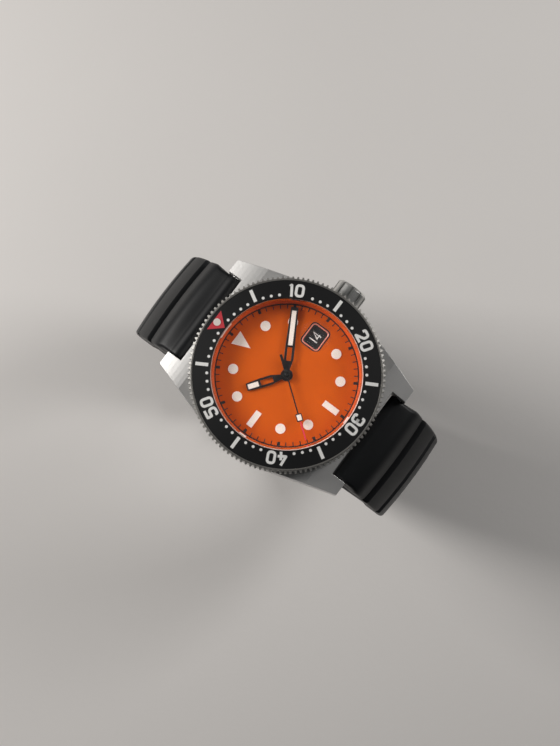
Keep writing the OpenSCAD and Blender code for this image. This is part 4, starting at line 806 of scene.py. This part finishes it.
def dial_printing():
    """The minute track, and the black lines outside and inside the date's frame."""
    black = Flat(dial_height, DIAL_PRINT_T)
    black.ring(TRACK_IN_R, TRACK_OUT_R)
    for minute in range(60):
        black.bar(clock_angle(minute), TICK_IN_R, TRACK_IN_R + 0.01, TICK_W if minute % 5 else BLOCK_W)
    black.band(rounded_box(*shrunk(FRAME_OUT, FRAME_LINE), DATE_X), rounded_box(*FRAME_OUT, DATE_X))
    (w, d, r), (frame_w, frame_d, frame_r) = WINDOW, FRAME_IN
    black.band(rounded_box(w - 2 * WINDOW_LAP, d - 2 * WINDOW_LAP, r, DATE_X),
               rounded_box(frame_w + 2 * FRAME_LAP, frame_d + 2 * FRAME_LAP, frame_r, DATE_X))
    black.piece("minute_track", BLACK_PRINT, "case", "hand_black")


def marker_rims():
    """A thin bright rim round each luminous marker."""
    rims = Flat(dial_height, RIM_T)
    for hour in (1, 2, 4, 5, 7, 8, 10, 11):
        rims.ring(MARKER_DOT_R - RIM_W, MARKER_DOT_R + RIM_PROUD, *polar(MARKER_RING_R, 90 - 30 * hour), n=48)
    for hour in (6, 9):
        c, s = polar(1, 90 - 30 * hour)

        def baton(grow):
            outline = rounded_box(BATON_LEN + 2 * grow, BATON_W + 2 * grow, BATON_CORNER, BATON_RING_R)
            return [(c * x - s * y, s * x + c * y) for x, y in outline]

        rims.band(baton(-RIM_W), baton(RIM_PROUD))
    lean = math.hypot(WEDGE_W / 2, WEDGE_BASE_Y - WEDGE_TIP_Y) / (WEDGE_W / 2)

    def wedge(grow):
        side = WEDGE_W / 2 + grow * WEDGE_CORNER
        return [(side, WEDGE_BASE_Y + grow), (-side, WEDGE_BASE_Y + grow), (0, WEDGE_TIP_Y - grow * lean)]

    rims.band(wedge(-RIM_W), wedge(RIM_PROUD))
    rims.piece("marker_rims", MARKER_RIM, "case", "lume")


def date_frame():
    """The low orange frame round the date's window, highest near its outer edge."""
    outer = shrunk(FRAME_OUT, FRAME_LINE)
    levels = [(FRAME_IN, -0.01), (shrunk(outer, CREST_IN), CREST_HIGH), (outer, -0.01)]
    loops = [[(x, y, DIAL_Z + z) for x, y in rounded_box(*box, DATE_X)] for box, z in levels]
    make_piece("date_frame", *ring_through(loops), date_frame_orange(), "case", "dial_orange", sharp=30)


DATE_LINE = 0.2
DATE_DIGIT_W, DATE_ONE_W, DATE_DIGIT_H, DATE_GAP = 1.16, 0.4, 1.9, 0.32
DATE_R = 9.78
DATE_COUNT = 31
SHOWN_DATE = 14
CAP_TURNS = 48
LENS_R, LENS_T, LENS_DOME_R, GLASS_GAP = 3.2, 0.3, 24.0, 0.012
# The strokes of each digit, in halves of its width and height.
DATE_PATHS = {
    "0": [[(-1, -1), (1, -1), (1, 1), (-1, 1), (-1, -1)]],
    "1": [[(0.2, -1), (0.2, 1)]],
    "2": [[(-1, 1), (1, 1), (1, 0.1), (-1, -1), (1, -1)]],
    "3": [[(-1, 1), (1, 1), (0.1, 0.15), (1, -0.2), (1, -1), (-1, -1)]],
    "4": [[(1, -0.5), (-1, -0.5), (0.45, 1), (0.45, -1)]],
    "5": [[(1, 1), (-1, 1), (-1, 0.1), (1, 0.1), (1, -1), (-1, -1)]],
    "6": [[(1, 1), (-1, 0.3), (-1, -1), (1, -1), (1, 0.1), (-1, 0.1)]],
    "7": [[(-1, 1), (1, 1), (-0.2, -1)]],
    "8": [[(-0.8, 0.1), (-0.8, 1), (0.8, 1), (0.8, 0.1), (-1, 0.1), (-1, -1), (1, -1), (1, 0.1)]],
    "9": [[(-1, -1), (1, -0.3), (1, 1), (-1, 1), (-1, -0.1), (1, -0.1)]],
}


def window_shade():
    """A black plate in the dial's window that leaves only one date open."""
    shade = Flat(lambda x, y: DATE_DISC_Z + SHADE_GAP, SHADE_T)
    w, d, r = WINDOW
    shade.band(rounded_box(*WINDOW_SHADE, DATE_X), rounded_box(w + 2 * SHADE_LAP, d + 2 * SHADE_LAP, r, DATE_X))
    shade.piece("date_window_shade", BLACK_PRINT, "case", "hand_black")


def date_numerals():
    """The dates 1 to 31 round the disc, each upright as it stands in the window."""
    white = Flat(lambda x, y: DATE_DISC_Z - DIAL_SINK, DIAL_PRINT_T)
    for date in range(1, DATE_COUNT + 1):
        c, s = polar(1, (date - SHOWN_DATE) * 360 / DATE_COUNT)
        digits = str(date)
        widths = [DATE_ONE_W if digit == "1" else DATE_DIGIT_W for digit in digits]
        left = DATE_R - (sum(widths) + DATE_GAP * (len(digits) - 1)) / 2
        for digit, width in zip(digits, widths):
            half_w, half_h = (width - DATE_LINE) / 2, (DATE_DIGIT_H - DATE_LINE) / 2
            middle = left + width / 2

            def place(u, v):
                return (c * (middle + u) - s * v, s * (middle + u) + c * v)

            for path in DATE_PATHS[digit]:
                white.stroke([(u * half_w, v * half_h) for u, v in path], DATE_LINE, place)
            left += width + DATE_GAP
    white.piece("date_numerals", WHITE_PRINT, "date", "lume")


def hand_cap():
    """A small ring turned about the hand axis, on top of the seconds hand."""
    profile = [(0.3, -0.02), (0.48, -0.02), (0.45, 0.03), (0.33, 0.03)]
    turns = [[(*polar(r, 360 * i / CAP_TURNS), SECONDS_HIGH_Z + z) for r, z in profile]
             for i in range(CAP_TURNS)]
    make_piece("hand_cap_ring", *faces_out(*ring_through(turns)), cap_ring(), "seconds", "hand_black", sharp=40)


def magnifier():
    """The dome under the crystal, set a hair below it so that no two faces of glass lie in one plane."""
    top = CRYSTAL_LOW_Z - GLASS_GAP
    angle = math.asin(LENS_R / LENS_DOME_R)
    steps, n = 10, 64
    rings = [(LENS_R, top)]
    for k in range(steps, 0, -1):
        a = angle * k / steps
        rings.append((LENS_DOME_R * math.sin(a), top - LENS_T + LENS_DOME_R * (1 - math.cos(a))))
    sections = [[(DATE_X + r * math.cos(-TAU * i / n), r * math.sin(-TAU * i / n), z) for i in range(n)]
                for r, z in rings]
    lens = make_piece("date_magnifier_dome", *faces_out(*sweep(sections)), GLASS, "case", "sapphire", sharp=30)
    lens.visible_shadow = False
    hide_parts("date_magnifier")


dial_printing()
marker_rims()
date_frame()
window_shade()
date_numerals()
hand_cap()
magnifier()

# ---- Strap ----

LOOP_HALF_W, LOOP_DEPTH = 30.9, 46.0
LOOP_HALF_H = (LUG_BAR_Z + LOOP_DEPTH) / (1 + math.sqrt(1 - (LUG_BAR_Y / LOOP_HALF_W) ** 2))
LOOP_Z = LOOP_HALF_H - LOOP_DEPTH
BAR_T = math.degrees(math.acos(LUG_BAR_Y / LOOP_HALF_W))
RIB_COUNT, RIB_PITCH = 4, 15.5
LAST_GROOVE_T = BAR_T - RIB_COUNT * RIB_PITCH
RIB_T, TAIL_T = 4.1, 2.4
RIB_CROWN, TAIL_CROWN = 0.5, 0.2
RIB_FLARE, RIB_SHOULDER = 0.4, 0.9
GROOVE_DEPTH, GROOVE_WAIST = 1.5, 0.3
# The groove's two flanks, as shares of the rib pitch that each runs through.
GROOVE_RISE, GROOVE_FALL = (0.08, 0.16), (0.05, 0.1)
OUTER_SOFT, INNER_SOFT = 0.75, 0.5
STRAP_W, STRAP_TAIL_W = 20.4, 18.0
SOFT_GAP, BAR_GAP = 0.3, 0.05
LAYER = TAIL_T + TAIL_CROWN + SOFT_GAP + 0.05
LAYER_START_T, LAYER_END_T = -79.0, -98.0
BUCKLE_T = -80.5
TAIL_T_END, TAIL_TIP = -142.0, 7.0
SLOT_T, SLOT_PITCH, SLOT_W, SLOT_LEN = -89.75, 12.5, 2.4, 4.9
TANG_SLANT = 40
NOTCH_LEN, NOTCH_MIDDLE = 7.4, 1.3
# Heights of a cutter's levels on the loop, each with the growth of its plan.
THROUGH_NOTCH, THROUGH_TAIL = [(-4, 0), (4, 0)], [(-6, 0), (6, 0)]
LUG_END_R, BUCKLE_END_R, BUCKLE_HOLE_R = 1.6, 1.25, 0.75
SMOOTH_ANGLE = 38


def loop_way(t):
    """The direction (y, z) straight out of the loop at angle t."""
    a = math.radians(t)
    return Vector((LOOP_HALF_H * math.cos(a), LOOP_HALF_W * math.sin(a))).normalized()


def loop_at(t, d=0.0):
    """A point (y, z) of the strap's closed loop at angle t, moved outwards by d."""
    a = math.radians(t)
    return Vector((LOOP_HALF_W * math.cos(a), LOOP_Z + LOOP_HALF_H * math.sin(a))) + loop_way(t) * d


def degrees_for(t, length):
    """The angle round the loop that a length in millimetres takes at t."""
    a = math.radians(t)
    return length / (math.hypot(LOOP_HALF_W * math.sin(a), LOOP_HALF_H * math.cos(a)) * math.radians(1))


def rib_share(t):
    """How far t is through its rib: 0 at the groove towards the lug, 1 at the next."""
    share = (BAR_T - t) / RIB_PITCH
    return share - math.floor(share)


def groove_share(t):
    """1 in the middle of a groove between two ribs, and 0 on the ribs."""
    if t < LAST_GROOVE_T - 2 or t > BAR_T - RIB_PITCH / 2:
        return 0.0
    past = rib_share(t)
    return 1 - (smooth_step(past, *GROOVE_RISE) if past < 0.5 else smooth_step(1 - past, *GROOVE_FALL))


def thickening(t):
    """0 along the thin tail, and 1 along the ribs."""
    return smooth_step(t, LAST_GROOVE_T - 12, LAST_GROOVE_T + 6)


def clear_of_bar(t):
    """0 at the lug's bar, and 1 a few millimetres along the strap."""
    return smooth_step(t, BAR_T + 1, BAR_T - 6)


def shoulder_rise(t):
    """How much higher the first rib stands beside the case."""
    return RIB_SHOULDER * smooth_step(t, BAR_T + 1.5, BAR_T - 7) * smooth_step(t, BAR_T - 15, BAR_T - 7)


def strap_width(t):
    """The strap's width without the ribs' flare: it narrows from the lugs down to the loop's bottom."""
    return STRAP_TAIL_W + (STRAP_W - STRAP_TAIL_W) * smooth_step(loop_at(t).y, -LOOP_DEPTH, LUG_BAR_Z)


def strap_section(t, offset, end_half=None, width=1.0):
    """One section of the strap as points (x, y, z): a flat inner face, a crowned outer face, soft edges.

    end_half is half its thickness at a bar or at the tip, and width is a share of the full width.
    """
    groove = groove_share(t)
    crown = (TAIL_CROWN + (RIB_CROWN - TAIL_CROWN) * thickening(t)) * clear_of_bar(t)
    if end_half is None:
        half = TAIL_T / 2 + (RIB_T - TAIL_T) / 2 * thickening(t)
        half = LUG_END_R + (half - LUG_END_R) * clear_of_bar(t)
        top = half - GROOVE_DEPTH * groove + shoulder_rise(t)
    else:
        half = end_half
        top = half - GROOVE_DEPTH * groove
        crown = min(crown, TAIL_CROWN)
    flare = RIB_FLARE * thickening(t) * smooth_step(t, BAR_T - 4, BAR_T - 8)
    w = (strap_width(t) / 2 + flare - GROOVE_WAIST * groove) * width
    soft = min(OUTER_SOFT, 0.8 * half, 0.6 * w)
    low_soft = min(INNER_SOFT, 0.5 * half, 0.4 * w)
    out = []
    for k in range(9):
        out.append(((w - low_soft) * (k / 4 - 1), -half))
    for k in range(1, 5):
        a = math.pi / 2 * k / 4
        out.append((w - low_soft + low_soft * math.sin(a), -half + low_soft * (1 - math.cos(a))))
    flat = w - soft
    shoulder = top + crown * (1 - (flat / w) ** 2) if w else top
    for k in range(7):
        a = math.pi / 2 * k / 6
        out.append((flat + soft * math.cos(a), shoulder - soft + soft * math.sin(a)))
    for k in range(1, 24):
        x = flat * (1 - 2 * k / 24)
        out.append((x, top + crown * (1 - (x / w) ** 2)))
    for k in range(7):
        a = math.pi / 2 * k / 6
        out.append((-flat - soft * math.sin(a), shoulder - soft + soft * math.cos(a)))
    for k in range(4):
        a = math.pi / 2 * k / 4
        out.append((-w + low_soft * (1 - math.cos(a)), -half + low_soft * (1 - math.sin(a))))
    return [(x, *loop_at(t, offset + d)) for x, d in out]


def rib_stations(t_end):
    """Angles with a section: close together at the grooves, wider elsewhere."""
    shares = [0, 0.03, 0.06, 0.085, 0.11, 0.135, 0.165, 0.195, 0.225, 0.27, 0.32, 0.38, 0.44, 0.5, 0.56, 0.62,
              0.68, 0.74, 0.8, 0.85, 0.88, 0.9, 0.915, 0.93, 0.945, 0.955, 0.97]
    ts = [BAR_T - (i + s) * RIB_PITCH for i in range(RIB_COUNT) for s in shares]
    t = LAST_GROOVE_T
    while t > t_end:
        ts.append(t)
        t -= 0.6 if t > LAST_GROOVE_T - 2 else 2.0
    return [t for t in ts if t > t_end + 0.2] + [t_end]


def round_end(t, radius, way):
    """Sections of a round end about a bar at angle t, from the bar outwards."""
    out = []
    for k in range(1, 8):
        a = math.radians(82) * k / 7
        out.append(strap_section(t + way * degrees_for(t, radius * math.sin(a)), 0, radius * math.cos(a)))
    return out


def tail_offset(t):
    """The tail leaves the loop near the buckle, and lies outside the other half from there on."""
    return LAYER * smooth_step(t, LAYER_START_T, LAYER_END_T)


def strap_from_lug(t_end, offset=lambda t: 0.0):
    """Sections from the round end at the lug's bar to t_end. offset gives how far t lies outside the loop."""
    sections = list(reversed(round_end(BAR_T, LUG_END_R, 1)))
    sections += [strap_section(BAR_T, 0, LUG_END_R)]
    return sections + [strap_section(t, offset(t)) for t in rib_stations(t_end) if t < BAR_T - 0.3]


def cylinder_x(y, z, radius, half, n=32):
    """A round bar across the strap."""
    ring = [(y + radius * math.cos(TAU * i / n), z + radius * math.sin(TAU * i / n)) for i in range(n)]
    return sweep([[(-half, *p) for p in ring], [(half, *p) for p in ring]])


def box_on_loop(t, offset, width, length, levels, middle=0.0, slant=0.0, corner=0.9):
    """A block that stands on the loop, its plan rounded. levels pair a height with the plan's growth."""
    way = loop_way(t)
    c, s = polar(1, slant)
    n = Vector((way.x * c - way.y * s, way.x * s + way.y * c))
    along = Vector((n.y, -n.x))
    centre = loop_at(t, offset)
    sections = []
    for height, grow in levels:
        outline = rounded_box(width + 2 * grow, length + 2 * grow, corner + grow, 0, middle)
        sections.append([(x, *(centre + along * y + n * height)) for x, y in outline])
    return sweep(sections)


def turned_over(verts, faces):
    """The same shape on the other side of the hand axis."""
    return [(x, -y, z) for x, y, z in verts], [list(reversed(face)) for face in faces]


def strap_buckle_half():
    """The half at 12, with holes for the lug's bar and the buckle's bar, and a notch for the tang."""
    sections = strap_from_lug(BUCKLE_T) + round_end(BUCKLE_T, BUCKLE_END_R, -1)
    piece = make_piece("strap_buckle_side", *faces_out(*sweep(sections)), RUBBER, "strap_buckle_half",
                       "strap_rubber")
    cut_away(piece, [
        faces_out(*cylinder_x(LUG_BAR_Y, LUG_BAR_Z, LUG_BAR_R + BAR_GAP, STRAP_W)),
        faces_out(*cylinder_x(*loop_at(BUCKLE_T), BUCKLE_HOLE_R, STRAP_W)),
        faces_out(*box_on_loop(BUCKLE_T, 0, SLOT_W, NOTCH_LEN, THROUGH_NOTCH, NOTCH_MIDDLE, corner=0.5)),
    ], SMOOTH_ANGLE)
    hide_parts("strap_12")


def strap_tail_half():
    """The half at 6, with a rounded tip, a hole for the lug's bar and six slots for the tang."""
    tip = degrees_for(-140, TAIL_TIP)
    tip_t = TAIL_T_END + tip
    sections = strap_from_lug(tip_t, tail_offset)
    for k in range(1, 13):
        a = math.radians(86) * k / 12
        t = tip_t - tip * math.sin(a)
        half = TAIL_T / 2 * (1 - 0.45 * smooth_step(k, 9, 12))
        sections.append(strap_section(t, tail_offset(t), half, width=math.cos(a)))
    piece = make_piece("strap_tail_side", *faces_out(*turned_over(*sweep(sections))), RUBBER, "strap_tail_half",
                       "strap_rubber")

    edge = TAIL_T / 2
    widening = [(-6, 0), (-edge - 0.1, 0), (-edge + 0.2, 0), (edge - 0.15, 0), (edge + 0.3, 0.3), (6, 0.3)]
    solids = [cylinder_x(LUG_BAR_Y, LUG_BAR_Z, LUG_BAR_R + BAR_GAP, STRAP_W)]
    for k in range(-2, 4):
        t = SLOT_T - k * SLOT_PITCH
        if k == 0:
            across = SLOT_LEN * math.cos(math.radians(TANG_SLANT))
            slot = box_on_loop(t, tail_offset(t), SLOT_W, across, THROUGH_TAIL, slant=TANG_SLANT, corner=0.15)
        else:
            slot = box_on_loop(t, tail_offset(t), SLOT_W, SLOT_LEN, widening)
        solids.append(slot)
    cut_away(piece, [faces_out(*turned_over(*solid)) for solid in solids], SMOOTH_ANGLE)
    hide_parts("strap_6")


KEEPER_LEN, KEEPER_WALL, KEEPER_EDGE, KEEPER_BEVEL = 4.5, 0.9, 0.32, 0.25
KEEPER_FIXED_T, KEEPER_FREE_T = -63, -49


def keeper(name, node, body, t):
    """A moulded band round both layers of the strap."""
    inner_w = strap_width(t) + 2 * SOFT_GAP
    low, high = -TAIL_T / 2 - SOFT_GAP, LAYER + TAIL_T / 2 + TAIL_CROWN + SOFT_GAP
    way, middle = loop_way(t), loop_at(t)
    along = Vector((way.y, -way.x))
    half, bevel = KEEPER_LEN / 2, KEEPER_BEVEL
    profile = [(-half, bevel), (-half + bevel, 0.0), (half - bevel, 0.0), (half, bevel)]
    profile += [(half - KEEPER_EDGE * (1 - math.cos(a)), KEEPER_WALL - KEEPER_EDGE * (1 - math.sin(a)))
                for a in (0, math.pi / 8, math.pi / 4, 3 * math.pi / 8, math.pi / 2)]
    profile += [(-p, q) for p, q in reversed(profile[4:])]
    loops = []
    for s, grow in profile:
        outline = rounded_box(inner_w + 2 * grow, high - low + 2 * grow, 0.5 + grow, 0, (high + low) / 2)
        loops.append([(x, *(middle + way * h + along * s)) for x, h in outline])
    piece = make_piece(name, *faces_out(*ring_through(loops)), RUBBER, body, "strap_rubber", sharp=50)
    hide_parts(node)


strap_buckle_half()
strap_tail_half()
keeper("keeper_moulded", "keeper_fixed", "strap_buckle_half", KEEPER_FIXED_T)
keeper("keeper_sliding", "keeper_free", "free_keeper", KEEPER_FREE_T)

# ---- Floor, light and camera ----

RIGHT, UP = Vector((0.5991, -0.8007, 0.0)), Vector((0.8007, 0.5991, 0.0))
AIM = Vector((-0.000428, 0.001385, 0.0095))
PALE = (0.86, 0.85, 0.84, 1)
FLOOR_REACH, FLOOR_LIT_R, FLOOR_PALE_R = 3.0, 90.0, 420.0
ROOM_GLOW, ROOM_SEEN, FLOOR_SEEN = 0.05, 0.8, 0.62
CAMERA_LEAN, CAMERA_DISTANCE, CAMERA_LENS = 5.5, 0.45, 107.0


def far_floor(finish):
    """Keeps the floor pale where the lamps don't reach, and lets it be seen through from below."""
    tree = finish.tree
    out = next(n for n in tree.nodes if n.type == "OUTPUT_MATERIAL")
    pale = put(tree, "ShaderNodeEmission", {"Color": PALE, "Strength": FLOOR_SEEN})
    camera_ray = put(tree, "ShaderNodeLightPath").outputs["Is Camera Ray"]
    unlit = map_range(tree, finish.radius(), FLOOR_LIT_R, FLOOR_PALE_R, smooth=True)
    far = maths(tree, "MULTIPLY", camera_ray, unlit)
    mix = put(tree, "ShaderNodeMixShader", {0: far, 1: finish.shader.outputs[0], 2: pale.outputs[0]})
    clear = put(tree, "ShaderNodeBsdfTransparent")
    back = put(tree, "ShaderNodeNewGeometry").outputs["Backfacing"]
    sided = put(tree, "ShaderNodeMixShader", {0: back, 1: mix.outputs[0], 2: clear.outputs[0]})
    tree.links.new(sided.outputs[0], out.inputs["Surface"])


def stage_floor():
    low, reach = cad_box[0][2], FLOOR_REACH
    mesh = bpy.data.meshes.new("floor")
    mesh.from_pydata([(-reach, -reach, low), (reach, -reach, low), (reach, reach, low), (-reach, reach, low)],
                     [], [(0, 1, 2, 3)])
    finish = Finish("Studio floor", (0.74, 0.72, 0.7), 0.6).tone(0.012, 60.0).grain(1.2, 0.02, rough=0.1)
    mesh.materials.append(finish.done())
    far_floor(finish)
    floor = bpy.data.objects.new("floor", mesh)
    bpy.context.scene.collection.objects.link(floor)


def softbox(name, right, up, high, size, watts, colour):
    """A square area light, placed in metres from the dial and turned towards it."""
    data = bpy.data.lights.new(name, "AREA")
    data.shape = "SQUARE"
    data.size = size
    data.energy = watts
    data.color = colour
    light = bpy.data.objects.new(name, data)
    light.location = AIM + RIGHT * right + UP * up + Vector((0, 0, high))
    light.rotation_euler = (AIM - light.location).to_track_quat("-Z", "Y").to_euler()
    bpy.context.scene.collection.objects.link(light)


def studio_light():
    """Two softboxes in a dim room, whose walls the camera sees as pale."""
    softbox("key_softbox", right=-0.29, up=0.1, high=0.19, size=0.13, watts=1.1, colour=(1.0, 0.97, 0.94))
    softbox("right_softbox", right=0.27, up=0.1, high=0.17, size=0.12, watts=0.5, colour=(1.0, 0.98, 0.96))
    world = bpy.data.worlds.new("Studio")
    world.use_nodes = True
    tree = world.node_tree
    dim = tree.nodes["Background"]
    dim.inputs["Color"].default_value = (0.9, 0.92, 0.95, 1)
    dim.inputs["Strength"].default_value = ROOM_GLOW
    bright = put(tree, "ShaderNodeBackground", {"Color": PALE, "Strength": ROOM_SEEN})
    camera_ray = put(tree, "ShaderNodeLightPath").outputs["Is Camera Ray"]
    mix = put(tree, "ShaderNodeMixShader", {0: camera_ray, 1: dim.outputs[0], 2: bright.outputs[0]})
    tree.links.new(mix.outputs[0], tree.nodes["World Output"].inputs["Surface"])
    bpy.context.scene.world = world
    bpy.context.scene.view_settings.view_transform = "Standard"


def camera():
    """Looks down at the dial, from a little towards the side between 6 and 9."""
    lean = math.radians(CAMERA_LEAN)
    back = (Vector((0, 0, 1)) * math.cos(lean) - UP * math.sin(lean)).normalized()
    up = back.cross(RIGHT).normalized()
    data = bpy.data.cameras.new("camera")
    data.lens = CAMERA_LENS
    data.clip_start = 0.01
    view = bpy.data.objects.new("camera", data)
    turn = Matrix((RIGHT, up, back)).transposed().to_4x4()
    view.matrix_world = Matrix.Translation(AIM + back * CAMERA_DISTANCE) @ turn
    bpy.context.scene.collection.objects.link(view)
    bpy.context.scene.camera = view


stage_floor()
studio_light()
camera()
